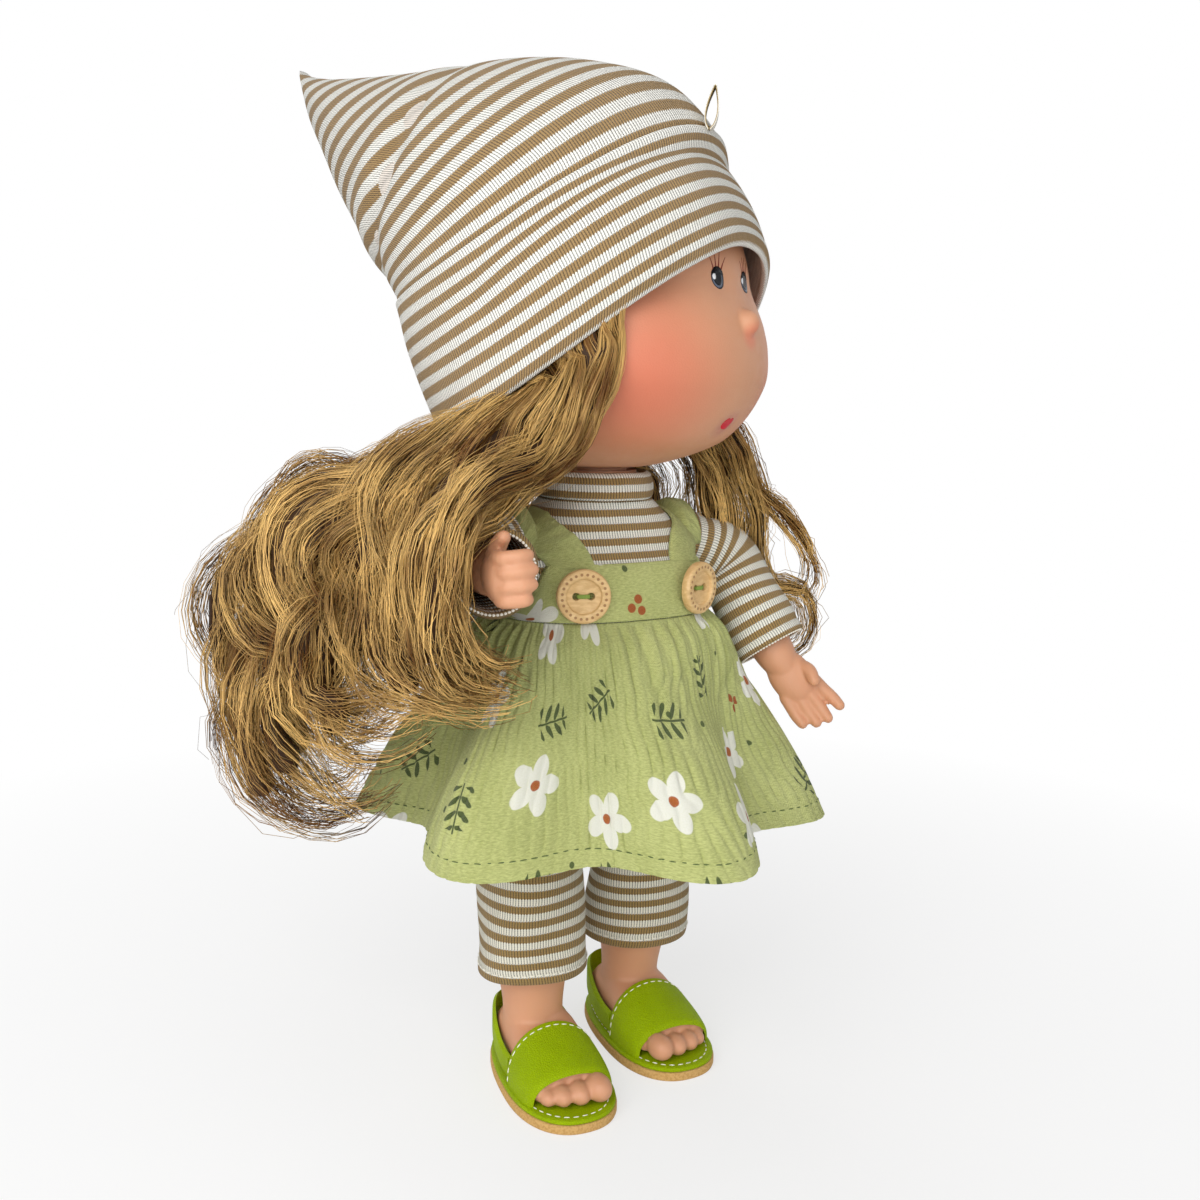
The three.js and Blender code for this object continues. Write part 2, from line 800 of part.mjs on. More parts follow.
function armTopProfile(grow, from) {
  const radius = armTopRadius + grow;
  return [
    { along: from, radius: 0 },
    { along: from, radius: radius * 0.98 },
    { along: from + 0.35 * radius, radius },
    { along: from + 0.75 * radius, radius: radius * 0.9 },
    { along: from + 1.05 * radius, radius: radius * 0.62 },
    { along: from + 1.18 * radius, radius: 0 },
  ];
}

function capsule(from, to, radius, count) {
  const along = vector(0, 0, 0).subVectors(to, from);
  const geometry = new THREE.CapsuleGeometry(radius, along.length(), 2, count);
  geometry.applyQuaternion(new THREE.Quaternion().setFromUnitVectors(vector(0, 1, 0), along.normalize()));
  const middle = vector(0, 0, 0).addVectors(from, to).multiplyScalar(0.5);
  geometry.translate(middle.x, middle.y, middle.z);
  return faced(geometry);
}

function hand() {
  const stops = armStops();
  const wrist = stops[3].at;
  const down = vector(0.2 * armReach, -0.03 * armDrop, -0.3 * armDrop).normalize();
  const across = vector(0, 1, 0).cross(down).normalize();
  const front = vector(0, 0, 0).crossVectors(down, across).normalize();
  const palmLength = 0.16 * armDrop;
  const palmMiddle = wrist.clone().addScaledVector(down, 0.75 * palmLength);
  const palm = new THREE.SphereGeometry(1, 10, 7);
  palm.scale(palmHalfThickness, palmHalfWidth, 0.85 * palmLength);
  const turn = new THREE.Matrix4().makeBasis(across, front, down);
  palm.applyMatrix4(turn);
  palm.translate(palmMiddle.x, palmMiddle.y, palmMiddle.z);
  const bodies = [faced(palm)];
  for (let i = 0; i < 4; i += 1) {
    const offset = (i - 1.5) * 1.9 * fingerRadius;
    const root = palmMiddle.clone().addScaledVector(front, offset).addScaledVector(down, 0.35 * palmLength);
    const length = fingerLength * [0.9, 1.05, 1, 0.8][i];
    const tip = root.clone().addScaledVector(down, length).addScaledVector(across, -0.22 * length);
    tip.addScaledVector(front, 0.12 * offset);
    bodies.push(capsule(root, tip, fingerRadius, 6));
  }
  const thumbRoot = palmMiddle.clone().addScaledVector(front, -0.7 * palmHalfWidth);
  const thumbTip = thumbRoot.clone().addScaledVector(down, 0.45 * fingerLength);
  thumbTip.addScaledVector(front, -0.42 * fingerLength).addScaledVector(across, -0.2 * fingerLength);
  bodies.push(capsule(thumbRoot, thumbTip, 1.1 * fingerRadius, 6));
  return join(bodies);
}

function armBody(grow) {
  const top = turnedAlongX(armTopProfile(grow, jointGap), vector(0, 0, 0), armSegments);
  return top.add(solid(skin(limb(armStops(), armSegments, 6, grow))));
}

function armPlug() {
  const wall = vinylWall + jointGap;
  const centre = vector(0, 0, 0);
  const stem = turnedAlongX(pin(-wall - 0.4, 2, shoulderStemRadius), centre, pinSegments);
  const head = turnedAlongX(pin(-wall - plugHeadThickness, -wall, shoulderHeadRadius), centre, pinSegments);
  return stem.add(head);
}

function liftArm(body, side) {
  const lift = side > 0 ? leftArmLift : rightArmLift;
  const lifted = body.rotate([-lift, 0, 0]).translate([shoulderFace, 0, shoulderLevel]);
  return side > 0 ? lifted : lifted.mirror([1, 0, 0]);
}

// Sleeve: follows the arm from the shoulder to the cuff, wider at the cuff
function sleeveStops(grow) {
  const stops = armStops();
  const end = stops[2].at.clone().lerp(stops[3].at, (sleeveLengthShare - 0.43) / 0.24);
  const ease = (share) => mix(sleeveEase, sleeveCuffEase, share) + grow;
  return [
    { at: stops[0].at, radius: stops[0].radius + ease(0) },
    { at: stops[1].at, radius: stops[1].radius + ease(0.2) },
    { at: stops[2].at, radius: stops[2].radius + ease(0.7) },
    { at: end, radius: mix(stops[2].radius, stops[3].radius, 0.5) + ease(1) },
  ];
}

function sleeveOutside(grow, from) {
  const profile = armTopProfile(sleeveEase + jumperCloth + grow, from);
  const top = turnedAlongX(profile, vector(0, 0, 0), armSegments);
  return top.add(solid(skin(limb(sleeveStops(jumperCloth + grow), armSegments, 6, 0))));
}

function sleeveInside() {
  const stops = sleeveStops(0);
  const last = vector(0, 0, 0).lerpVectors(stops[2].at, stops[3].at, 1.6);
  stops.push({ at: last, radius: stops[3].radius });
  const top = turnedAlongX(armTopProfile(sleeveEase, -5), vector(0, 0, 0), armSegments);
  const topFront = turnedAlongX(armTopProfile(sleeveEase, jointGap), vector(0, 0, 0), armSegments);
  return top.add(topFront).add(solid(skin(limb(stops, armSegments, 8, 0))));
}

function makeSleeve() {
  return largest(sleeveOutside(0, jointGap + restGap).subtract(sleeveInside()));
}

// Space that the sleeve sweeps as the arm turns, about the shoulder line
function sleeveRoom(side, grow) {
  const top = armTopRadius + sleeveEase + jumperCloth;
  const steps = 12;
  const points = limb(sleeveStops(jumperCloth), armSegments, 24, 0).flat();
  const profile = [{ along: shoulderFace - 0.2, radius: 0 }];
  for (let k = 0; k <= steps; k += 1) {
    const along = (k / steps) * armReach;
    let radius = top;
    for (const p of points) {
      if (p.x < along + armReach / steps) radius = Math.max(radius, Math.hypot(p.y, p.z));
    }
    profile.push({ along: shoulderFace + along - (k === 0 ? 0.2 : 0), radius: radius + grow });
  }
  profile.push({ along: shoulderFace + armReach, radius: 0 });
  return shoulderPart(side, profile, 16);
}

// Legs
function footSide(side) {
  return side > 0 ? leftFootSide : rightFootSide;
}

function footBack(side) {
  return side > 0 ? leftFootBack : -rightFootForward;
}

function toeOut(side) {
  return side > 0 ? leftToeOut : rightToeOut;
}

const ankleFromMiddle = 10;

function legStops(side) {
  const footOut = footSide(side);
  const back = footBack(side);
  const level = (share) => mix(footFloor, hipLevel, share);
  const at = (share, away) => vector(mix(thighOffset, footOut, away), back * away, level(share));
  return [
    { at: at(0.98, 0), radius: thighRadius },
    { at: at(0.75, 0.25), radius: thighRadius * 0.97 },
    { at: at(0.55, 0.5), radius: kneeRadius },
    { at: at(0.4, 0.7), radius: calfRadius },
    { at: at(0.2, 0.95), radius: ankleRadius },
    { at: at(0.1, 1), radius: ankleRadius * 1.05 },
  ];
}

function drumProfile(grow) {
  const radius = hipDrumRadius + grow;
  const from = keelHalfWidth + jointGap;
  const out = thighOffset + thighRadius - from;
  return [
    { along: from, radius: 0 },
    { along: from, radius: radius - 0.8 },
    { along: from + 1.5, radius },
    { along: from + 0.6 * out, radius },
    { along: from + 0.86 * out, radius: 0.82 * radius },
    { along: from + out + grow, radius: 0.4 * radius },
    { along: from + out + grow + 0.6, radius: 0 },
  ];
}

// Foot sections: distance forward of the sole's middle, half width, height above the foot's floor
function footSections() {
  const half = soleLength / 2;
  return [
    { forward: -0.82 * half, half: 0.45 * footHalfWidth, high: 0.5 * footInstepHeight },
    { forward: -0.72 * half, half: 0.72 * footHalfWidth, high: 0.82 * footInstepHeight },
    { forward: -0.5 * half, half: 0.84 * footHalfWidth, high: 1.02 * footInstepHeight },
    { forward: -0.15 * half, half: 0.88 * footHalfWidth, high: footInstepHeight },
    { forward: 0.15 * half, half: 0.95 * footHalfWidth, high: 0.78 * footInstepHeight },
    { forward: 0.45 * half, half: footHalfWidth, high: mix(toeHeight, footInstepHeight, 0.25) },
    { forward: 0.65 * half, half: 0.97 * footHalfWidth, high: toeHeight },
    { forward: 0.72 * half, half: 0.9 * footHalfWidth, high: 0.85 * toeHeight },
  ];
}

function footRing(section, count) {
  const ring = [];
  for (let i = 0; i < count; i += 1) {
    const angle = (2 * Math.PI * i) / count;
    const lift = Math.sin(angle);
    const across = Math.cos(angle) * section.half * (lift < 0 ? 1 - 0.12 * lift * lift : 1);
    const up = lift > 0 ? section.high * (0.22 + 0.78 * lift) : section.high * 0.22 * (1 + lift);
    ring.push(vector(across, -section.forward, up));
  }
  return ring;
}

function foot() {
  const bodies = [solid(skin(footSections().map((s) => footRing(s, 12))))];
  const half = soleLength / 2;
  const toes = [1.3, 1, 0.95, 0.9, 0.82];
  toes.forEach((size, i) => {
    const radius = size * 0.215 * footHalfWidth;
    const across = mix(0.7, -0.74, i / 4) * footHalfWidth;
    const forward = mix(0.76, 0.64, i / 4) * half;
    bodies.push(ball(radius, vector(across, -forward, radius), 7, 4));
  });
  return join(bodies);
}

// Moves a body made about the middle of the left sole into place on either side
function onFoot(body, side) {
  const mirrored = side > 0 ? body.mirror([1, 0, 0]) : body;
  const turned = mirrored.rotate([0, 0, side > 0 ? toeOut(side) : -toeOut(side)]);
  return turned.translate([side * footSide(side), footBack(side) - ankleFromMiddle, 0]);
}

function sided(body, side) {
  return side > 0 ? body : body.mirror([1, 0, 0]);
}

function makeLeg(side) {
  const drum = turnedAlongX(drumProfile(0), vector(0, 0, hipLevel), legSegments);
  const shank = solid(skin(limb(legStops(side), legSegments, 8, 0)));
  const wall = keelHalfWidth - vinylWall;
  const centre = vector(0, 0, hipLevel);
  const stem = turnedAlongX(pin(wall - 0.8, keelHalfWidth + 2, hipStemRadius), centre, pinSegments);
  const headOut = wall - jointGap;
  const head = turnedAlongX(pin(headOut - plugHeadThickness, headOut, hipHeadRadius), centre, pinSegments);
  const upper = sided(drum.add(shank).add(stem).add(head), side);
  return upper.add(onFoot(foot().translate([0, 0, footFloor]), side));
}

// Leggings leg: covers the top of the leg and hangs loose to its hem
function leggingStops(side, grow) {
  const stops = legStops(side);
  const hem = stops[4].at.clone().lerp(stops[3].at, 0.2);
  hem.z = leggingHemHeight;
  const loose = leggingHemRadius - leggingCloth;
  return [
    { at: stops[0].at, radius: thighRadius + clothGap + grow },
    { at: stops[1].at, radius: thighRadius + 1.2 + grow },
    { at: stops[2].at, radius: mix(thighRadius + 1.2, loose, 0.5) + grow },
    { at: hem, radius: loose + grow },
  ];
}

function makeLeggingLeg(side) {
  const outside = turnedAlongX(drumProfile(clothGap + leggingCloth), vector(0, 0, hipLevel), legSegments);
  const leg = solid(skin(limb(leggingStops(side, leggingCloth), legSegments, 6, 0)));
  const inner = turnedAlongX(drumProfile(clothGap), vector(0, 0, hipLevel), legSegments);
  const stops = leggingStops(side, 0);
  const below = stops[3].at.clone();
  below.z -= 12;
  stops.push({ at: below, radius: stops[3].radius });
  const core = solid(skin(limb(stops, legSegments, 8, 0)));
  const keel = keelHalfWidth + jointGap;
  const trim = box(vector(-farOff, -farOff, 0), vector(keel, farOff, 2 * farOff));
  const opening = turnedAlongX(pin(0, keel + 2, hipDrumRadius - 0.4), vector(0, 0, hipLevel), legSegments);
  const body = outside.add(leg).subtract(inner).subtract(core).subtract(trim).subtract(opening);
  return sided(largest(body), side);
}

function makeLeggingHip() {
  const low = crotchLevel + 3;
  const high = hipLevel + leggingRise;
  const outer = torsoRings(low, high, leggingOuter);
  const inner = torsoRings(low, high, leggingInner);
  const body = solid(tubeSkin(outer, inner));
  return largest(body.subtract(hipRoom(keelHalfWidth - jointGap, hipRoomTop + 0.4)));
}

// Jumper
const jumperTop = neckLevel - 0.6;

function jumperOutside(grow) {
  return solid(skin(torsoRings(hipLevel + jumperHemRise, jumperTop, jumperOuter + grow)));
}

function makeJumper() {
  const low = hipLevel + jumperHemRise;
  const outer = torsoRings(low, jumperTop, jumperOuter);
  const inner = torsoRings(low, jumperTop, jumperInner);
  let body = solid(tubeSkin(outer, inner));
  for (const side of [-1, 1]) body = body.subtract(sleeveRoom(side, clothGap));
  return largest(body);
}

function collarProfile(grow) {
  const inside = neckRadius + clothGap - grow;
  const outside = inside + collarThickness + 2 * grow;
  const low = jumperTop + restGap - grow;
  const high = Math.min(low + collarHeight + 2 * grow, chinLevel - 0.3 + grow);
  const round = 0.3 * collarThickness;
  return [
    { along: low, radius: inside },
    { along: low, radius: outside - 0.4 * round },
    { along: mix(low, high, 0.45), radius: outside },
    { along: high - round, radius: outside - 0.3 * round },
    { along: high, radius: outside - 1.2 * round },
    { along: high, radius: inside },
    { along: low, radius: inside },
  ];
}

function makeCollar() {
  const points = collarProfile(0).map((p) => new THREE.Vector2(p.radius, p.along));
  const geometry = new THREE.LatheGeometry(points, torsoSegments);
  geometry.rotateX(Math.PI / 2);
  const room = solid(skin(torsoRings(jumperTop - 4, neckLevel, clothGap)));
  return largest(faced(geometry).subtract(room));
}

// Dress
function makeBand() {
  const outer = torsoRings(bandBottom, bandTop, dressOuter);
  const inner = torsoRings(bandBottom, bandTop, dressInner);
  let body = solid(tubeSkin(outer, inner));
  for (const side of [-1, 1]) body = body.subtract(sleeveRoom(side, 2 * clothGap));
  return largest(body);
}

function skirtPoint(share, angle, grow) {
  const top = bandBottom - restGap;
  const waveShape = Math.cos(skirtFoldCount * angle);
  const lift = skirtHemLift * (0.5 - 0.5 * waveShape) * share * share;
  const fold = skirtFoldDepth * waveShape * smooth(share * 1.15) + grow;
  const s = Math.sin(angle);
  const c = -Math.cos(angle);
  const ovalness = 2 / torsoSquareness;
  const width = torsoSize(top, "width") + dressInner + 0.5 * dressCloth;
  const depth = torsoSize(top, "depth") + dressInner + 0.5 * dressCloth;
  const waistX = Math.sign(s) * Math.abs(s) ** ovalness * width;
  const waistY = Math.sign(c) * Math.abs(c) ** ovalness * depth;
  const x = mix(waistX, s * skirtHemRadius, share) + s * fold;
  const y = mix(waistY, c * skirtHemRadius, share) + c * fold;
  return vector(x, y, top - share * skirtLength + lift);
}

function skirtRings(grow) {
  const rings = [];
  for (let r = 0; r <= skirtRows; r += 1) {
    const ring = [];
    for (let i = 0; i < skirtSegments; i += 1) {
      const angle = (2 * Math.PI * i) / skirtSegments;
      ring.push(skirtPoint(r / skirtRows, angle, grow));
    }
    rings.push(ring);
  }
  return rings;
}

function makeSkirt() {
  return solid(tubeSkin(skirtRings(0.5 * dressCloth), skirtRings(-0.5 * dressCloth)));
}

// Strap over one shoulder: follows the jumper from the front of the band to its back
function strapBody(side, grow) {
  const low = bandTop + restGap - grow;
  const outer = solid(skin(torsoRings(low, jumperTop, dressOuter + grow)));
  const inner = solid(skin(torsoRings(low - 5, jumperTop + 5, dressInner - grow)));
  const near = strapOffset - 0.5 * strapWidth - grow;
  const far = strapOffset + 0.5 * strapWidth + grow;
  const slab = box(vector(near, -farOff, low), vector(far, farOff, jumperTop));
  return sided(outer.intersect(slab).subtract(inner), side);
}

function makeStrap(side) {
  return largest(strapBody(side, 0));
}

// Buttons lie on the front of the band
function bandFront(x, level) {
  const width = torsoSize(level, "width") + dressOuter;
  const depth = torsoSize(level, "depth") + dressOuter;
  const share = (Math.abs(x) / width) ** torsoSquareness;
  const y = -depth * (1 - share) ** (1 / torsoSquareness);
  const slopeX = (Math.abs(x) / width) ** (torsoSquareness - 1) / width;
  const slopeY = (Math.abs(y) / depth) ** (torsoSquareness - 1) / depth;
  const tilt = Math.atan2(slopeX, slopeY);
  return { y, tilt };
}

// How far the band bulges past its middle level anywhere behind a button
function bandBulge(level) {
  const heights = [-1, -0.5, 0, 0.5, 1].map((share) => level + share * buttonRadius);
  const reaches = heights.map((height) => -bandFront(buttonOffset, height).y);
  return Math.max(...reaches) + bandFront(buttonOffset, level).y;
}

function onBand(body, side) {
  const level = (bandBottom + bandTop) / 2;
  const spot = bandFront(buttonOffset, level);
  const turned = body.rotate([90, 0, 0]).rotate([0, 0, (side * spot.tilt * 180) / Math.PI]);
  const out = restGap + bandBulge(level);
  const x = side * (buttonOffset + Math.sin(spot.tilt) * out);
  const y = spot.y - Math.cos(spot.tilt) * out;
  return turned.translate([x, y, level]);
}

function makeButton() {
  const disc = turnedAlongZ(
    [
      { along: 0, radius: 0 },
      { along: 0, radius: buttonRadius - 0.6 },
      { along: 0.4 * buttonThickness, radius: buttonRadius },
      { along: 0.8 * buttonThickness, radius: buttonRadius - 0.2 },
      { along: buttonThickness, radius: buttonRadius - 0.9 },
      { along: 0.72 * buttonThickness, radius: 0.62 * buttonRadius },
      { along: 0.66 * buttonThickness, radius: 0 },
    ],
    vector(0, 0, 0),
    buttonSegments,
  );
  let body = disc;
  for (const s of [-0.5, 0.5]) {
    const hole = pin(-1, 2 * buttonThickness, buttonHoleRadius);
    body = body.subtract(turnedAlongZ(hole, vector(s * buttonHoleSpacing, 0, 0), 8));
  }
  return body;
}

// Thread through both holes of a button, a low arch on its face
function makeThread() {
  const half = buttonHoleSpacing / 2;
  const face = 0.66 * buttonThickness;
  const rise = face + restGap + threadRadius;
  const stops = [
    vector(-half, 0, 0.1),
    vector(-half, 0, face),
    vector(-0.7 * half, 0, rise),
    vector(0, 0, rise + 0.15),
    vector(0.7 * half, 0, rise),
    vector(half, 0, face),
    vector(half, 0, 0.1),
  ];
  const line = new THREE.CatmullRomCurve3(stops, false, "centripetal");
  const outline = new THREE.Shape();
  outline.absarc(0, 0, threadRadius, 0, 2 * Math.PI, false);
  const geometry = new THREE.ExtrudeGeometry(outline, {
    steps: 10,
    extrudePath: line,
    curveSegments: 3,
    bevelEnabled: false,
  });
  return faced(geometry);
}

// Sandals, made about the middle of the right sole
function solePoint(angle, inset) {
  const half = soleLength / 2 - inset;
  const c = Math.cos(angle);
  const s = Math.sin(angle);
  const forward = Math.sign(c) * Math.abs(c) ** 0.84 * half;
  const wide = mix(soleHeelHalfWidth, soleToeHalfWidth, smooth(0.5 + (0.5 * forward) / half)) - inset;
  return { across: Math.sign(s) * Math.abs(s) ** 0.84 * wide, forward };
}

function soleRing(z, inset) {
  const ring = [];
  for (let i = 0; i < soleSegments; i += 1) {
    const p = solePoint((2 * Math.PI * i) / soleSegments, inset);
    ring.push(vector(p.across, -p.forward, z));
  }
  return ring;
}

function makeSole() {
  return solid(skin([soleRing(0, soleEdge), soleRing(2 * soleEdge, 0), soleRing(soleThickness, 0)]));
}

function makeInsole() {
  const low = soleThickness + restGap;
  return solid(skin([soleRing(low, restGap), soleRing(low + insoleThickness, restGap)]));
}

function footTop(forward) {
  const sections = footSections();
  let i = 0;
  while (i + 2 < sections.length && sections[i + 1].forward < forward) i += 1;
  const share = (forward - sections[i].forward) / (sections[i + 1].forward - sections[i].forward);
  return mix(sections[i].high, sections[i + 1].high, Math.min(1, Math.max(0, share)));
}

function strapArch(forward, grow, count) {
  const half = soleLength / 2;
  const wide = mix(soleHeelHalfWidth, soleToeHalfWidth, smooth(0.5 + (0.5 * forward) / half)) - 2.2 + grow;
  const base = insoleTop + restGap;
  const high = footTop(forward) + restGap + 0.5 + grow;
  const arch = [];
  for (let i = 0; i <= count; i += 1) {
    const angle = (Math.PI * i) / count;
    const up = Math.sin(angle) ** 0.75;
    arch.push(vector(Math.cos(angle) * wide, -forward, base + up * high));
  }
  return arch;
}

function makeFrontStrap() {
  const outer = [];
  const inner = [];
  const count = 14;
  const steps = 3;
  for (let k = 0; k <= steps; k += 1) {
    const forward = frontStrapStart + (frontStrapWidth * k) / steps;
    outer.push(strapArch(forward, sandalLeather, count));
    inner.push(strapArch(forward, 0, count));
  }
  return solid(panelSkin(outer, inner));
}

// Heel strap: from both sides of the sole up and round the back of the heel
function makeHeelStrap() {
  const rows = [];
  const steps = 16;
  const half = soleLength / 2;
  const wide = Math.max(0.9 * footHalfWidth, ankleRadius) + 3 * clothGap;
  const back = 0.93 * half;
  const ends = frontStrapStart - restGap - 0.6;
  for (let k = 0; k <= steps; k += 1) {
    const angle = mix(0.5, 1.5, k / steps) * Math.PI;
    const s = Math.sin(angle);
    const c = Math.cos(angle);
    const climb = smooth(-c * 1.1);
    const low = insoleTop + restGap + climb * 6.5;
    const high = low + heelStrapHeight - 1.5 * (1 - climb);
    const row = [];
    for (const [grow, z] of [[sandalLeather, low], [sandalLeather, high], [0, high], [0, low]]) {
      const across = Math.sign(s) * Math.abs(s) ** 0.85 * (wide + grow);
      const forward = ends - Math.abs(c) ** 0.85 * (back + ends + grow);
      row.push(vector(across, -forward, z));
    }
    rows.push(row);
  }
  return solid(skin(rows));
}

// Hair: groups of thick wavy locks, cut clear of the head, hat, arms and clothes
function lockBody(stops, count) {
  return solid(skin(limb(stops, count, 2 * (stops.length - 1), 0)));
}

function stop(x, y, z, radius, flat) {
  return { at: vector(x, y, z), radius, flat };
}

function shoulderStop(side, out, back, up, radius, flat) {
  return stop(side * (shoulderHalfWidth + out), back, shoulderLevel + up, radius, flat);
}

function headStop(angle, reach, up, radius, flat) {
  const turn = radians(angle + headTurn);
  return stop(Math.sin(turn) * reach, -Math.cos(turn) * reach, headLevel + up, radius, flat);
}

function hairRoom() {
  const bodies = [
    onHead(headSolid(clothGap, headSteps, headSegments)),
    onHead(hatRoom()),
    jumperOutside(clothGap),
    solid(skin(torsoRings(bandBottom - 1, bandTop + clothGap, dressOuter + clothGap))),
    solid(skin(skirtRings(0.5 * dressCloth + 2 * clothGap))),
    turnedAlongZ(
      pin(jumperTop - 2, chinLevel, neckRadius + collarThickness + 3 * clothGap),
      vector(0, 0, 0),
      28,
    ),
  ];
  for (const side of [-1, 1]) {
    bodies.push(strapBody(side, clothGap));
    bodies.push(liftArm(sleeveOutside(clothGap, jointGap), side));
    bodies.push(liftArm(armBody(clothGap), side));
  }
  return join(bodies);
}

function makeHair() {
  const room = hairRoom();
  const reach = headHalfWidth;
  const right = join([
    lockBody(
      [
        headStop(-64, 0.94 * reach, -0.32 * reach, 0.3 * hairRadius, 0.8),
        headStop(-78, 1.02 * reach, -0.72 * reach, 0.48 * hairRadius, 0.8),
        shoulderStop(-1, 0.38 * hairSpread, 0.09 * hairBack, 0.31 * hairFall, 0.7 * hairRadius, 0.8),
        shoulderStop(-1, 0.71 * hairSpread, 0.26 * hairBack, 0.03 * hairFall, hairRadius, 0.9),
        shoulderStop(-1, hairSpread, 0.35 * hairBack, -0.31 * hairFall, hairRadius, 0.9),
        shoulderStop(-1, 0.96 * hairSpread, 0.17 * hairBack, -0.67 * hairFall, 0.87 * hairRadius, 0.9),
        shoulderStop(-1, 0.87 * hairSpread, 0.13 * hairBack, -0.92 * hairFall, 0.57 * hairRadius, 0.9),
      ],
      10,
    ),
    lockBody(
      [
        headStop(-112, 0.74 * reach, -0.68 * reach, 0.39 * hairRadius, 0.8),
        headStop(-110, 1.04 * reach, -0.99 * reach, 0.57 * hairRadius, 0.9),
        shoulderStop(-1, 0.52 * hairSpread, 0.48 * hairBack, -0.03 * hairFall, 0.78 * hairRadius, 0.9),
        shoulderStop(-1, 0.67 * hairSpread, 0.13 * hairBack, -0.36 * hairFall, 0.96 * hairRadius, 0.9),
        shoulderStop(-1, 0.68 * hairSpread, -0.13 * hairBack, -0.67 * hairFall, 0.83 * hairRadius, 0.9),
        shoulderStop(-1, 0.67 * hairSpread, -0.13 * hairBack, -hairFall, 0.43 * hairRadius, 0.9),
      ],
      10,
    ),
  ]);
  const back = lockBody(
    [
      headStop(176, 0.72 * reach, -0.68 * reach, 0.39 * hairRadius, 2.2),
      headStop(172, 0.9 * reach, -0.99 * reach, 0.52 * hairRadius, 2.6),
      stop(-0.17 * hairSpread, 0.91 * hairBack, shoulderLevel + 0.11 * hairFall, 0.52 * hairRadius, 2.6),
      stop(-0.14 * hairSpread, hairBack, shoulderLevel - 0.22 * hairFall, 0.48 * hairRadius, 2.5),
      stop(-0.12 * hairSpread, 1.17 * hairBack, shoulderLevel - 0.56 * hairFall, 0.35 * hairRadius, 2.3),
    ],
    12,
  );
  const left = join([
    lockBody(
      [
        headStop(96, 0.9 * reach, -0.56 * reach, 0.35 * hairRadius, 0.8),
        headStop(100, 1.02 * reach, -0.87 * reach, 0.48 * hairRadius, 0.8),
        shoulderStop(1, 0.32 * hairSpread, 0.43 * hairBack, 0.19 * hairFall, 0.52 * hairRadius, 0.9),
        shoulderStop(1, 0.46 * hairSpread, 0.43 * hairBack, -0.11 * hairFall, 0.52 * hairRadius, 0.9),
        shoulderStop(1, 0.58 * hairSpread, 0.39 * hairBack, -0.39 * hairFall, 0.52 * hairRadius, 0.9),
        shoulderStop(1, 0.64 * hairSpread, 0.35 * hairBack, -0.61 * hairFall, 0.26 * hairRadius, 0.9),
      ],
      10,
    ),
  ]);
  const rightLocks = largest(right.subtract(room));
  const backLocks = largest(back.subtract(room).subtract(grown(right)));
  const leftLocks = largest(left.subtract(room).subtract(grown(back)).subtract(grown(right)));
  return { rightLocks, backLocks, leftLocks };
}

// A body with a thin layer of room all round
function grown(body) {
  const steps = [
    [clothGap, 0, 0],
    [-clothGap, 0, 0],
    [0, clothGap, 0],
    [0, -clothGap, 0],
    [0, 0, clothGap],
    [0, 0, -clothGap],
  ];
  return join(steps.map((s) => body.translate(s)));
}

place("torso", makeTorso(), materials.vinyl);
place("head", onHead(makeHead()), materials.vinyl);
place("hat", onHead(makeHat()), materials.knit);
place("hat_label", onHead(makeLabel()), materials.ribbon);

const hair = makeHair();
place("hair_right", hair.rightLocks, materials.hair);
place("hair_back", hair.backLocks, materials.hair);
place("hair_left", hair.leftLocks, materials.hair);

const armWhole = armBody(0).add(hand()).add(armPlug());
const sleeve = makeSleeve();
const button = makeButton();
const thread = makeThread();
const frontStrap = makeFrontStrap();
const heelStrap = makeHeelStrap();
const sole = makeSole();
const insole = makeInsole();

place("jumper_body", makeJumper(), materials.knit);
place("jumper_collar", makeCollar(), materials.knit);
place("leggings_hip", makeLeggingHip(), materials.knit);
place("dress_waistband", makeBand(), materials.muslin);
place("dress_skirt", makeSkirt(), materials.muslin);

for (const [side, name] of [[-1, "right"], [1, "left"]]) {
  place(`arm_${name}`, liftArm(armWhole, side), materials.vinyl);
  place(`jumper_sleeve_${name}`, liftArm(sleeve, side), materials.knit);
  place(`leg_${name}`, makeLeg(side), materials.vinyl);
  place(`leggings_leg_${name}`, makeLeggingLeg(side), materials.knit);
  place(`dress_strap_${name}`, makeStrap(side), materials.muslin);
  place(`button_${name}`, onBand(button, side), materials.wood);
  place(`button_thread_${name}`, onBand(thread, side), materials.thread);
  place(`sandal_sole_${name}`, onFoot(sole, side), materials.sole);
  place(`sandal_insole_${name}`, onFoot(insole, side), materials.leather);
  place(`sandal_front_strap_${name}`, onFoot(frontStrap, side), materials.leather);
  place(`sandal_heel_strap_${name}`, onFoot(heelStrap, side), materials.leather);
}

// Stand the doll on the origin, the middle of its box over it
const bounds = new THREE.Box3().setFromObject(doll);
const shift = vector(-(bounds.min.x + bounds.max.x) / 2, -(bounds.min.y + bounds.max.y) / 2, -bounds.min.z);
for (const mesh of doll.children) mesh.geometry.translate(shift.x, shift.y, shift.z);

export default doll;
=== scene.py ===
import json
import math

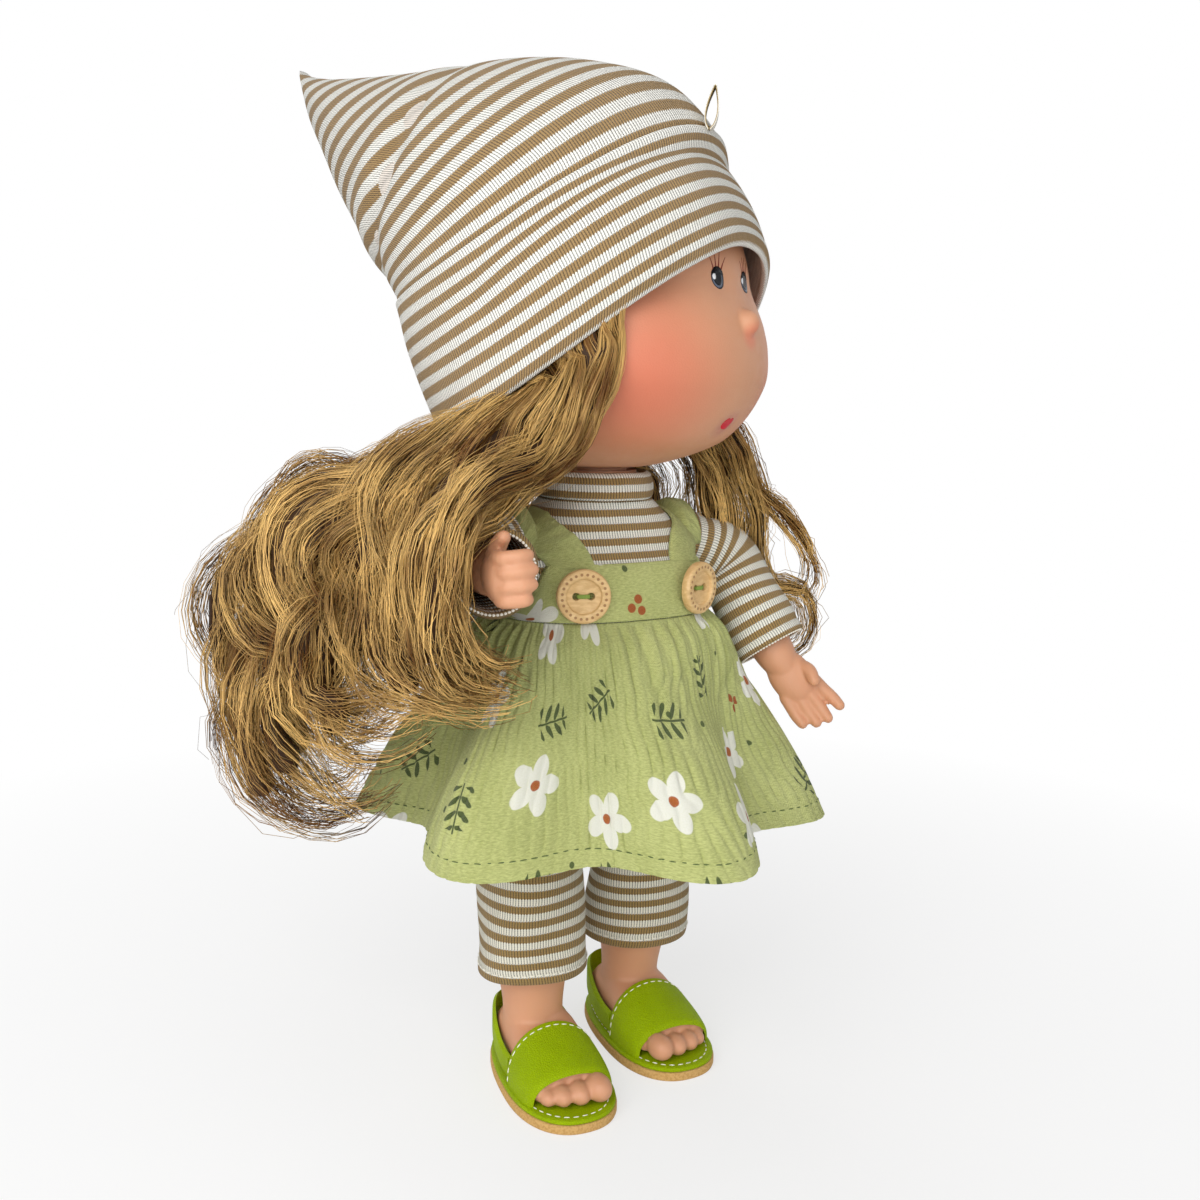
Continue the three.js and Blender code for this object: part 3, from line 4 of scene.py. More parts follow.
import bpy
import numpy as np
from mathutils import Matrix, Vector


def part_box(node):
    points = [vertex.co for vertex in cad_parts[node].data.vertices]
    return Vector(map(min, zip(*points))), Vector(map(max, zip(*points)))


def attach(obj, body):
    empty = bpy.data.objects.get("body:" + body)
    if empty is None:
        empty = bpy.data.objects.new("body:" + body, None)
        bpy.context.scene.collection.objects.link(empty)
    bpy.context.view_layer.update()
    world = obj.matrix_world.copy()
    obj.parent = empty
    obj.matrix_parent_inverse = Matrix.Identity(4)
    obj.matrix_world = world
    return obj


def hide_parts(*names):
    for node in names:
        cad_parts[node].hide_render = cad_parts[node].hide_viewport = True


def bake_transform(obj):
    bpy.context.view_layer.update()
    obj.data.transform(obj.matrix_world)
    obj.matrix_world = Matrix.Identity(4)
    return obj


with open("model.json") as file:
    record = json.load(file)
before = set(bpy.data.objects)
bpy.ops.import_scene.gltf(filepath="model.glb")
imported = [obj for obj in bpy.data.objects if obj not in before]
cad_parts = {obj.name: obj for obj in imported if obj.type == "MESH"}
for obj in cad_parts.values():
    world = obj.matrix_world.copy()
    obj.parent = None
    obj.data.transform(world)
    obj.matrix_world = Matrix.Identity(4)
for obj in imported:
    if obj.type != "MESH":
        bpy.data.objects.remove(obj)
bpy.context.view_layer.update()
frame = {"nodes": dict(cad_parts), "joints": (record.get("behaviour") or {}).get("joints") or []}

# Studio: a plain white floor in an even pale surround, a large soft lamp high on the camera's left, a weaker
# one low in front and one high behind. The camera stands where the photograph was taken.
joints = {j["name"]: j for j in frame["joints"]}
mid_x, mid_y, chin_level = (1000 * v for v in joints["neck_turn"]["pos_m"])
view = bpy.context.scene
view.view_settings.view_transform = "Standard"


def place(points):
    """Millimetres about the doll's upright middle line, in metres in the part's frame."""
    return (np.asarray(points, float) + (mid_x, mid_y, 0)) * 0.001


def colour(red, green, blue):
    """A colour as it is seen, 0 to 255, for a socket."""
    seen = np.array((red, green, blue)) / 255
    light = np.where(seen < 0.04, seen / 12.92, ((seen + 0.055) / 1.055) ** 2.4)
    return (*light.tolist(), 1.0)


def unit(points):
    """Directions brought to a length of 1."""
    return points / np.linalg.norm(points, axis=-1)[..., None]


def wire(tree, kind, inputs=None, **settings):
    """A node with its settings made and its inputs set or linked."""
    made = tree.nodes.new(kind)
    for key, value in settings.items():
        setattr(made, key, value)
    for key, value in (inputs or {}).items():
        if isinstance(value, bpy.types.NodeSocket):
            tree.links.new(value, made.inputs[key])
        else:
            made.inputs[key].default_value = value
    return made


def stood(name, data, axes, spot):
    """A camera or lamp in the scene, with its own x, y and z axes and its place."""
    made = bpy.data.objects.new(name, data)
    made.matrix_world = Matrix([(*row, e) for row, e in zip(np.column_stack(axes), spot)] + [(0, 0, 0, 1)])
    view.collection.objects.link(made)
    return made


camera_side, camera_far, camera_high = math.radians(31.0), 399.7, 213.7
eye_turn, eye_tilt, eye_roll = math.radians(31.3), math.radians(9.3), math.radians(1.1)
look = np.array((math.sin(eye_turn) * math.cos(eye_tilt), math.cos(eye_turn) * math.cos(eye_tilt),
                 -math.sin(eye_tilt)))
level = unit(np.cross(look, (0, 0, 1)))
rise = np.cross(level, look)
lens = bpy.data.cameras.new("camera")
lens.lens, lens.sensor_width, lens.clip_start = 39.07, 36, 0.01
view.camera = stood("camera", lens, (level * math.cos(eye_roll) + rise * math.sin(eye_roll),
                                     rise * math.cos(eye_roll) - level * math.sin(eye_roll), -look),
                    place((-camera_far * math.sin(camera_side), -camera_far * math.cos(camera_side),
                           camera_high)))

surround = bpy.data.worlds.new("surround")
view.world = surround
surround.use_nodes = True
tree = surround.node_tree
tree.nodes.clear()
rays = wire(tree, "ShaderNodeLightPath").outputs
seen = wire(tree, "ShaderNodeMath", {0: rays["Is Camera Ray"], 1: rays["Is Glossy Ray"]}, operation="MAXIMUM")
seen = wire(tree, "ShaderNodeMath", {0: seen.outputs[0], 1: rays["Is Transmission Ray"]}, operation="MAXIMUM")
strength = wire(tree, "ShaderNodeMapRange", {"Value": seen.outputs[0], "To Min": 0.44, "To Max": 1.0})
glow = wire(tree, "ShaderNodeBackground", {"Color": (1, 1, 1, 1), "Strength": strength.outputs[0]})
wire(tree, "ShaderNodeOutputWorld", {"Surface": glow.outputs[0]})

floor_half = 3.0
floor_mesh = bpy.data.meshes.new("floor")
floor_mesh.from_pydata([(x * floor_half, y * floor_half, 0) for x, y in ((-1, -1), (1, -1), (1, 1), (-1, 1))],
                       [], [(0, 1, 2, 3)])
floor = bpy.data.objects.new("floor", floor_mesh)
view.collection.objects.link(floor)
paint = bpy.data.materials.new("floor_white")
paint.use_nodes = True
tree = paint.node_tree
tree.nodes.clear()
rays = wire(tree, "ShaderNodeLightPath").outputs
spot = wire(tree, "ShaderNodeTexCoord").outputs["Object"]
far = wire(tree, "ShaderNodeVectorMath", {0: spot, 1: tuple(place((0, 0, 0)))}, operation="DISTANCE")
far = far.outputs["Value"]
clean = wire(tree, "ShaderNodeMapRange", {"Value": far, "From Min": 0.08, "From Max": 0.42, "To Min": 0.6})
clean = clean.outputs[0]
seen = wire(tree, "ShaderNodeMath", {0: rays["Is Camera Ray"], 1: clean}, operation="MULTIPLY")
matt = wire(tree, "ShaderNodeBsdfDiffuse", {"Color": (0.9, 0.9, 0.9, 1)})
lit = wire(tree, "ShaderNodeEmission", {"Color": (1, 1, 1, 1), "Strength": 1.0})
both = wire(tree, "ShaderNodeMixShader", {0: seen.outputs[0], 1: matt.outputs[0], 2: lit.outputs[0]})
wire(tree, "ShaderNodeOutputMaterial", {"Surface": both.outputs[0]})
floor_mesh.materials.append(paint)


def lamp(name, turn, height, far, size, power):
    """A square soft lamp aimed at the doll's chest; turn is from straight in front, to its left."""
    light = bpy.data.lights.new(name, "AREA")
    light.size, light.energy = size, power
    turn = math.radians(turn)
    spot = place((1000 * far * math.sin(turn), -1000 * far * math.cos(turn), height))
    aim = unit(place((0, 0, 160)) - spot)
    side = unit(np.cross(aim, (0, 0, 1)))
    stood(name, light, (side, np.cross(side, aim), -aim), spot)


lamp("lamp_left", -54, 500, 0.75, 0.7, 5.4)
lamp("lamp_front", -8, 220, 0.9, 0.7, 1.9)
lamp("lamp_back", 170, 700, 0.8, 0.6, 2.0)


# Head: one hollow vinyl moulding, matt and slightly soft, with a small ball nose and a dimple for the mouth.
# It turns on the neck post. The cheeks are sprayed with a broad soft blush.
head_turn = math.radians(27)
head_level = chin_level + 50.3
head_half = np.array((50.3, 51.0, 50.3))
nose_ahead, nose_low, nose_round, nose_melt = 49.1, -7.4, 3.7, 1.6
mouth_low = -35.6
eye_side, eye_up = 8.4, 4.4


def from_head(points):
    """From the head's own frame, face towards -Y, to the doll's."""
    p = np.asarray(points, float)
    c, s = math.cos(head_turn), math.sin(head_turn)
    x, y, z = p[..., 0], p[..., 1], p[..., 2]
    return np.stack((c * x - s * y, s * x + c * y, z + head_level), -1)


def soft(low, high, value):
    """A smooth step from 0 at low to 1 at high."""
    t = np.clip((np.asarray(value, float) - low) / (high - low), 0, 1)
    return t * t * (3 - 2 * t)


def bump_at(value, middle, width):
    """A smooth bump of 1 at a middle."""
    return np.exp(-(((value - middle) / width) ** 2))


def head_reach(way):
    """How far the vinyl is from the middle of the head along unit directions."""
    wide = np.hypot(way[..., 0] / head_half[0], way[..., 1] / head_half[1])
    high = np.abs(way[..., 2]) / head_half[2]
    square = 2.5 - 0.45 * soft(-0.25, 0.25, way[..., 2])
    reach = (wide ** square + high ** square) ** (-1 / square)
    x, z = reach * way[..., 0], reach * way[..., 2]
    ahead = soft(0.15, 0.85, -way[..., 1])
    brow = -6.0 * soft(-14, 6, z) * soft(44, 26, z)
    jowl = 3.0 * soft(-9, -24, z) * soft(-51, -38, z)
    socket = -0.5 * bump_at(np.abs(x), eye_side, 4.5) * bump_at(z, eye_up, 5)
    dimple = -1.1 * bump_at(x, 0, 4.6) * bump_at(z, mouth_low, 2.9)
    lip = 0.85 * bump_at(x, 0, 2.3) * bump_at(z, mouth_low, 1.3)
    reach = reach + ahead * (brow + jowl + socket + dimple + lip)
    ball = np.array((0, -nose_ahead, nose_low))
    low, far = reach - 3, reach + 9
    for _ in range(26):
        middle = (low + far) / 2
        cheek = middle - reach
        nose = np.linalg.norm(middle[..., None] * way - ball, axis=-1) - nose_round
        share = np.clip(0.5 + 0.5 * (cheek - nose) / nose_melt, 0, 1)
        gap = cheek * (1 - share) + nose * share - nose_melt * share * (1 - share)
        low, far = np.where(gap < 0, middle, low), np.where(gap < 0, far, middle)
    return (low + far) / 2


def laced(ring):
    """Triangles that close a thin ring of points across its width, from its ends inwards."""
    i, j, made = 0, len(ring) - 1, []
    while j - i > 1:
        if np.linalg.norm(ring[i + 1] - ring[j]) < np.linalg.norm(ring[i] - ring[j - 1]):
            made.append((i, i + 1, j))
            i += 1
        else:
            made.append((i, j - 1, j))
            j -= 1
    return np.array(made)


def wrapped(name, rings, uv=None, closed=False, ends=(None, None), thin=False):
    """A closed skin over rings of points, doll's millimetres; closed joins the last ring to the first.
    Open ends are closed to a point, or across their width where the rings are thin."""
    rings = np.asarray(rings, float)
    rows, cols = rings.shape[:2]
    if uv is None:
        uv = np.zeros((rows + 1, cols + 1, 2))
    r, c = np.meshgrid(np.arange(rows if closed else rows - 1), np.arange(cols), indexing="ij")
    r, c = r.ravel(), c.ravel()
    after, right = (r + 1) % rows, (c + 1) % cols
    faces = np.stack((r * cols + c, r * cols + right, after * cols + right, after * cols + c), 1)
    marks = np.stack((uv[r, c], uv[r, c + 1], uv[r + 1, c + 1], uv[r + 1, c]), 1)
    points, spots = rings.reshape(-1, 3), [marks.reshape(-1, 2)]
    corners, sizes = [faces.ravel()], [np.full(len(faces), 4)]
    for end, row in () if closed else ((0, 0), (1, rows - 1)):
        if thin:
            shut = laced(rings[row])
            shut_uv = uv[row][shut]
            shut = shut + row * cols
        else:
            tip = rings[row].mean(0) if ends[end] is None else np.asarray(ends[end], float)
            points = np.vstack((points, tip))
            a = np.arange(cols)
            shut = np.stack((np.full(cols, len(points) - 1), row * cols + a, row * cols + (a + 1) % cols), 1)
            centre = np.broadcast_to(uv[row, :-1].mean(0), (cols, 2))
            shut_uv = np.stack((centre, uv[row, :-1], uv[row, 1:]), 1)
        order = slice(None, None, -1 if end == 0 else 1)
        corners.append(shut[:, order].ravel())
        sizes.append(np.full(len(shut), 3))
        spots.append(shut_uv[:, order].reshape(-1, 2))
    return skin(name, points, np.concatenate(corners), np.concatenate(sizes), np.concatenate(spots))


def skin(name, points, corners, sizes, spots=None):
    """A mesh object from its points, the corners of its faces and their UV, turned to face out."""
    starts = np.concatenate(([0], np.cumsum(sizes)[:-1]))
    first = points[corners[starts]]
    volume = 0.0
    for k in range(1, int(sizes.max()) - 1):
        has = sizes > k + 1
        b, c = points[corners[starts[has] + k]], points[corners[starts[has] + k + 1]]
        volume += np.einsum("ij,ij->i", first[has], np.cross(b, c)).sum()
    if volume < 0:
        back = np.concatenate([np.arange(s + n - 1, s - 1, -1) for s, n in zip(starts, sizes)])
        corners = corners[back]
        spots = None if spots is None else spots[back]
    mesh = bpy.data.meshes.new(name)
    mesh.vertices.add(len(points))
    mesh.vertices.foreach_set("co", place(points).astype(np.float32).ravel())
    mesh.loops.add(len(corners))
    mesh.loops.foreach_set("vertex_index", corners.astype(np.int32))
    mesh.polygons.add(len(sizes))
    mesh.polygons.foreach_set("loop_start", starts.astype(np.int32))
    if spots is not None:
        mesh.uv_layers.new(name="UVMap").data.foreach_set("uv", spots.astype(np.float32).ravel())
    mesh.update(calc_edges=True)
    mesh.validate()
    mesh.shade_smooth()
    return shown(name, mesh)


def shown(name, mesh):
    """An object of a mesh, in the scene."""
    made = bpy.data.objects.new(name, mesh)
    view.collection.objects.link(made)
    return made


def tree_of(*values):
    """The node tree that the sockets among some values belong to."""
    return next(value.id_data for value in values if isinstance(value, bpy.types.NodeSocket))


def calc(what, *values):
    """One sum or function of sockets and numbers."""
    return wire(tree_of(*values), "ShaderNodeMath", dict(enumerate(values)), operation=what).outputs[0]


def vector(what, *values, by=None):
    """One sum or function of vectors; by is the number that scales one."""
    inputs = dict(enumerate(values)) if by is None else {0: values[0], "Scale": by}
    made = wire(tree_of(*values), "ShaderNodeVectorMath", inputs, operation=what)
    return made.outputs["Value" if what in ("DISTANCE", "LENGTH") else "Vector"]


def times(first, second):
    """The product of two numbers, one of them a socket at least."""
    return calc("MULTIPLY", first, second)


def spread(value, low, high, to_low=0.0, to_high=1.0):
    """Carries a socket smoothly from one range to another."""
    ends = {"Value": value, "From Min": low, "From Max": high, "To Min": to_low, "To Max": to_high}
    return wire(value.id_data, "ShaderNodeMapRange", ends, interpolation_type="SMOOTHSTEP").outputs[0]


def tint(share, first, second, way="MIX"):
    """Mixes two colours by a share."""
    tree = tree_of(share, first, second)
    mixed = wire(tree, "ShaderNodeMix", {0: share, 6: first, 7: second}, data_type="RGBA", blend_type=way)
    return mixed.outputs[2]


def grain(where, scale, detail=2.0, rough=0.5):
    """Cloudy noise, 0 to 1."""
    parts = {"Vector": where, "Scale": scale, "Detail": detail, "Roughness": rough}
    return wire(where.id_data, "ShaderNodeTexNoise", parts).outputs["Fac"]


def finish(name, values):
    """A new material's tree and its shader, with the shader's fixed values."""
    made = bpy.data.materials.new(name)
    made.use_nodes = True
    made.node_tree.nodes.clear()
    shader = wire(made.node_tree, "ShaderNodeBsdfPrincipled", values)
    wire(made.node_tree, "ShaderNodeOutputMaterial", {"Surface": shader.outputs[0]})
    return made, made.node_tree, shader


def raised(shader, height, depth):
    """Bump from a height of 0 to 1 that stands for depth metres."""
    made = wire(height.id_data, "ShaderNodeBump", {"Height": height, "Distance": depth, "Strength": 1.0})
    height.id_data.links.new(made.outputs[0], shader.inputs["Normal"])


def fit(piece, body, node=None, paint=None):
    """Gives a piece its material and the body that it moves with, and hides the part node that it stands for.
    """
    if paint:
        piece.data.materials.append(paint)
    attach(piece, body)
    if node:
        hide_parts(node)


def around_nose(step, turn):
    """Unit directions at an angle from the nose, in degrees, and a turn about it."""
    a, b = np.radians(step)[..., None], np.asarray(turn)[..., None]
    tilt = math.atan2(nose_low, 55)
    ahead = np.array((0, -math.cos(tilt), math.sin(tilt)))
    right = np.array((1.0, 0, 0))
    return np.cos(a) * ahead + np.sin(a) * (np.cos(b) * right + np.sin(b) * np.cross(right, ahead))


steps = np.concatenate((np.linspace(0.35, 10, 32), np.linspace(11, 179, 124)))
ways = around_nose(*np.meshgrid(steps, np.linspace(0, 2 * math.pi, 220, endpoint=False), indexing="ij"))
poles = around_nose(np.array((0.0, 180.0)), np.zeros(2))
head = wrapped("head_skin", from_head(ways * head_reach(ways)[..., None]),
               ends=from_head(poles * head_reach(poles)[..., None]))

vinyl, tree, shader = finish("vinyl_head", {"Subsurface Weight": 0.12, "Subsurface Radius": (1.0, 0.45, 0.25),
                                            "Subsurface Scale": 0.003})
own = wire(tree, "ShaderNodeMapping", {
    "Vector": wire(tree, "ShaderNodeTexCoord").outputs["Object"],
    "Location": tuple(place((0, 0, head_level))), "Rotation": (0, 0, head_turn),
    "Scale": (0.001, 0.001, 0.001)}, vector_type="TEXTURE").outputs[0]
x, y, z = wire(tree, "ShaderNodeSeparateXYZ", {0: own}).outputs
either_side = wire(tree, "ShaderNodeCombineXYZ", {0: calc("ABSOLUTE", x), 1: y, 2: z}).outputs[0]
base = tint(grain(own, 0.07, 3.0), colour(200, 143, 108), colour(210, 154, 118))
# Laid on in turn, each fading from near to far: sprayed tints on the cheeks, temples and the nose's tip, and
# a darker tone in the mouth's dimple, which is painted shade in that hollow.
for where, centre, near, far, share, spray in ((either_side, (30, -31, -23), 4, 34, 0.8, (206, 106, 78)),
                                               (either_side, (42, -24, -2), 3, 22, 0.5, (214, 142, 112)),
                                               (own, (0, -51.5, -10.9), 1.5, 5.5, 0.55, (220, 120, 92)),
                                               (own, (0, -43.5, mouth_low), 2.0, 6.5, 0.45, (178, 108, 104))):
    mist = spread(vector("DISTANCE", where, centre), near, far, 1.0, 0.0)
    base = tint(times(mist, share), base, colour(*spray))
tree.links.new(base, shader.inputs["Base Color"])
tree.links.new(spread(grain(own, 0.5, 4.0), 0.2, 0.8, 0.46, 0.56), shader.inputs["Roughness"])
raised(shader, grain(own, 2.2, 3.0), 0.00006)
fit(head, "head", "head", vinyl)


# Painted face: upright oval eyes in black, grey and white, four fine lashes over each, and small red lips.
# The real ones are printed on the vinyl; here each coat is a thin skin lying on the head.
paint_under = -0.25


def on_face(x, z, lift):
    """Points of the head's front at the given places across and up, lifted off the vinyl."""
    x, z = np.broadcast_arrays(np.asarray(x, float), np.asarray(z, float))
    low, far = np.full(x.shape, 10.0), np.full(x.shape, 70.0)
    for _ in range(30):
        y = (low + far) / 2
        p = np.stack((x, -y, z), -1)
        inside = np.linalg.norm(p, axis=-1) < head_reach(unit(p))
        low, far = np.where(inside, y, low), np.where(inside, far, y)
    p = np.stack((x, -low, z), -1)
    return p * (1 + lift / np.linalg.norm(p, axis=-1))[..., None]


def coat(name, outline, paint, lift, rings=5):
    """A thin closed skin of paint inside an outline of places on the face."""
    outline = np.asarray(outline, float)
    centre = outline.mean(0)
    top = [on_face(*(centre + s * (outline - centre)).T, lift) for s in np.linspace(1, 0.15, rings)]
    made = wrapped(name, from_head(np.array([on_face(*outline.T, paint_under)] + top)),
                   ends=(from_head(on_face(*centre, paint_under)), from_head(on_face(*centre, lift))))
    fit(made, "head", paint=paint)


def oval(x, z, half_wide, half_high, count=40):
    """Places round an upright oval."""
    a = np.linspace(0, 2 * math.pi, count, endpoint=False)
    return np.column_stack((x + half_wide * np.cos(a), z + half_high * np.sin(a)))


def enamel(name, low, high, rough=0.25):
    """Printed enamel with a faint cloudy change of tone."""
    made, tree, shader = finish(name, {"Roughness": rough, "Specular IOR Level": 0.1})
    cloud = grain(wire(tree, "ShaderNodeTexCoord").outputs["Object"], 900.0)
    tree.links.new(tint(cloud, colour(*low), colour(*high)), shader.inputs["Base Color"])
    return made


black_paint = enamel("eye_black", (12, 12, 16), (26, 26, 32))
rim_paint = enamel("eye_rim", (30, 32, 40), (48, 50, 60))
iris_paint = enamel("eye_iris", (80, 88, 104), (116, 124, 140))
white_paint = enamel("eye_white", (244, 246, 250), (252, 253, 255))
lash_paint = enamel("lash_brown", (128, 62, 52), (146, 76, 62), 0.5)
lip_paint = enamel("lip_red", (196, 22, 40), (208, 40, 56), 0.35)
# Each lash: its foot's place across the eye, how far it leans out and its length.
lashes = ((-1.7, -1.2, 3.6), (-0.5, -0.1, 4.4), (0.7, 1.1, 4.6), (1.8, 2.6, 3.8))
for side, name in ((-1, "right"), (1, "left")):
    at = side * eye_side
    coat(f"eye_rim_{name}", oval(at, eye_up, 2.85, 3.05), rim_paint, 0.06)
    coat(f"eye_iris_{name}", oval(at + 0.1 * side, eye_up - 0.1, 2.4, 2.6), iris_paint, 0.1)
    coat(f"eye_pupil_{name}", oval(at, eye_up + 0.05, 1.9, 2.15), black_paint, 0.14)
    lid = np.vstack((oval(at, eye_up, 2.9, 3.1)[2:19], oval(at, eye_up, 2.4, 2.5)[18:1:-1]))
    coat(f"eye_lid_{name}", lid, black_paint, 0.13, 2)
    coat(f"eye_light_{name}", oval(at - 1.5, eye_up + 0.3, 0.75, 0.85, 20), white_paint, 0.19, 3)
    for k, (foot, lean, long) in enumerate(lashes):
        share = np.linspace(0, 1, 9)
        up = eye_up + 2.75 - 0.35 * abs(foot) + long * share
        over = at + foot + lean * share ** 1.4
        half = 0.3 * (1 - 0.75 * share)
        hair = np.vstack((np.column_stack((over - half, up)), np.column_stack((over + half, up))[::-1]))
        coat(f"lash_{name}_{k}", hair, lash_paint, 0.07, 2)
angle = np.linspace(0, 2 * math.pi, 48, endpoint=False)
bow = 1 + 0.16 * np.cos(2 * angle) - 0.3 * bump_at(angle, math.pi / 2, 0.3)
lip_edge = np.column_stack((2.2 * bow * np.cos(angle), mouth_low + 2.0 * bow * np.sin(angle)))
coat("lips", lip_edge, lip_paint, 0.08, 8)


# Hat: a pointed tube of striped cotton jersey, its open end folded up into a deep cuff that shows the same
# face. It is pulled over the head, lower at the back, and its point stands up behind with one soft crease.
stripe, courses, rib_wide = 4.9, 8, 0.88
hat_step, hat_wall = 1.1, 1.3
hat_clear = 0.4 + hat_step + hat_wall
cuff_end, tip_end = 3.0, 11.0


def circle(count):
    """Even angles once round."""
    return 2 * math.pi * np.arange(count) / count


def head_square(up):
    """How square the plain head is above and below its middle."""
    return np.where(np.asarray(up) > 0, 2.05, 2.5)


def head_share(up):
    """The plain head's width at a level, as a share of its greatest."""
    square = float(head_square(up))
    return (1 - abs(up / head_half[2]) ** square) ** (1 / square)


def through(stops, at):
    """A smooth line through evenly numbered stops, at places along it."""
    stops = np.asarray(stops, float)
    at = np.clip(np.asarray(at, float), 0, len(stops) - 1)
    k = np.minimum(at.astype(int), len(stops) - 2)
    t = (at - k)[..., None] if stops.ndim > 1 else at - k
    a, b = stops[np.maximum(k - 1, 0)], stops[k]
    c, d = stops[k + 1], stops[np.minimum(k + 2, len(stops) - 1)]
    return b + 0.5 * t * (c - a + t * (2 * a - 5 * b + 4 * c - d + t * (3 * (b - c) + d - a)))


def lengths(points):
    """Running length along a row of points."""
    return np.concatenate(([0], np.cumsum(np.linalg.norm(np.diff(points, axis=0), axis=1))))


def knit_marks(rings, along):
    """UV in millimetres: round each ring from its middle, and the given length along."""
    marks = []
    for ring, v in zip(rings, along):
        run = lengths(np.vstack((ring, ring[:1])))
        marks.append(np.column_stack((run - run[-1] / 2, np.full(len(run), v))))
    return np.array(marks)


# Stops from the brim to the tip: backwards and up along the front and back, half width, and the sides' dip.
front_line = [(-head_half[1] * head_share(up) - hat_clear, up) for up in (15, 25.2, 35.5)]
front_line += [(-36, 46), (-22, 60.5), (-2, 67.5), (20, 70.3), (46, 70.2), (75, 70.6), (101, 72.6), (115, 75),
               (118.6, 76.6)]
back_line = [(44, -41), (51.1, -28.8), (56.6, -16.6)]
back_line += [(61 + 59 * s, -4 + 81.5 * s) for s in (0, 0.06, 0.165, 0.30, 0.46, 0.66, 0.83, 0.95, 1.0)]
half_wide = [54, 53.8, 53.6, 53.5, 53.2, 51.5, 46.5, 38.5, 27, 14, 5, 1.6]
side_dip = [15, 14.4, 13.6, 12.6, 11, 8.6, 6.2, 4.2, 2.4, 1, 0.3, 0]


def hat_ring(at, shrink, count=224):
    """Points round the hat at a place from brim, 0, over the cuff's edge, 3, to the tip, 11."""
    front, back = through(front_line, at), through(back_line, at)
    wide, dip = through(half_wide, at), through(side_dip, at)
    middle, half = (front + back) / 2, (front - back) / 2
    long = np.hypot(*half)
    angle = math.pi + circle(count)
    reach = max(0.4, 1 - shrink / long) if long > 0 else 1
    p = np.column_stack((np.sin(angle) * max(0.4, wide - shrink),
                         middle[0] + np.cos(angle) * half[0] * reach,
                         middle[1] + np.cos(angle) * half[1] * reach - dip * np.sin(angle) ** 2))
    square = head_square(p[:, 2])
    wide_share = np.hypot(p[:, 0] / head_half[0], p[:, 1] / head_half[1])
    out = (wide_share ** square + np.abs(p[:, 2] / head_half[2]) ** square) ** (1 / square)
    least = 1 + (hat_clear + 0.7 - shrink) / head_half[0]
    p *= np.maximum(1, least / out)[:, None]
    p[:, 1] += 3.4 * soft(-12, -44, p[:, 1]) * soft(50, 36, p[:, 2]) * soft(-26, 4, p[:, 0])
    crease = np.interp(p[:, 2], (4, 27, 42, 57, 67), (57, 44, 38.5, 36.5, 38))
    near_side = soft(4, -14, p[:, 0]) * soft(3.05, 3.5, at) * soft(8.5, 6.5, at)
    dent = near_side * (2.4 * bump_at(p[:, 1], crease, 4.0) - 1.3 * bump_at(p[:, 1], crease + 9, 6.0))
    sway = soft(3.1, 4.5, at) * soft(tip_end, 8.5, at) * 0.5
    slow = np.sin(0.07 * p[:, 2] + np.sign(p[:, 0]))
    dent = dent + sway * np.sin(0.11 * p[:, 1] + 0.06 * p[:, 2] + 1.3) * slow
    p[:, 0] -= np.sign(p[:, 0]) * np.minimum(dent, np.abs(p[:, 0]) * 0.5)
    return p


# Rows of place, shrink and length along the knit: lining, the brim's fold, the cuff, its edge and the crown.
rows = [(t, hat_step + hat_wall, -10.0 - 3 * t) for t in np.linspace(9.2, 0.35, 16)]
for turn in np.linspace(0, math.pi, 11):
    rows.append((-0.11 * math.sin(turn) + 0.12 * math.cos(turn) ** 2, 1.2 + 1.2 * math.cos(turn),
                 -2.4 + 3.9 * turn / math.pi))
for t in np.linspace(0.2, 2.96, 52):
    rows.append((t, -0.3 * math.sin(math.pi * min(1, t / 0.5)), t / cuff_end * 8 * stripe))
for t, shrink in ((3.0, 0.04), (3.03, 0.22), (3.045, 0.5), (3.04, 0.85), (3.02, 1.2)):
    rows.append((t, shrink, 8 * stripe + 0.4 * shrink))
crown = np.concatenate((np.linspace(3.04, 3.3, 8), np.linspace(3.38, 10.9, 112)))
climb = 0.0
for last, t in zip(np.concatenate(([cuff_end], crown)), crown):
    slope = through(front_line, t) - through(back_line, t)
    rise = np.array((-slope[1], slope[0])) / -np.hypot(*slope)
    climb += float((hat_ring(t, 1.0, 4)[1] - hat_ring(last, 1.0, 4)[1])[1:] @ rise)
    step = hat_step * min(1.0, float(through(half_wide, t)) / 53.5) + 0.15 * (t < 3.1)
    rows.append((t, step, stripe * (8.1 + 23.6 * math.log(1 + climb / 118))))
rings = np.array([hat_ring(max(0.0, t), shrink) + (0, 0, 12.0 * min(0.0, t)) for t, shrink, _ in rows])
marks = knit_marks(rings, [along for _, _, along in rows])
rings = from_head(rings)
hat = wrapped("hat_knit", rings, np.concatenate((marks, marks[-1:])),
              ends=(rings[0].mean(0), from_head((0, 119.8, 77.2))))


def flat_place(tree):
    """Places on the flat cloth, from the piece's UV map in millimetres: across, along and both together."""
    both = wire(tree, "ShaderNodeUVMap").outputs[0]
    u, v, _ = wire(tree, "ShaderNodeSeparateXYZ", {0: both}).outputs
    return u, v, both


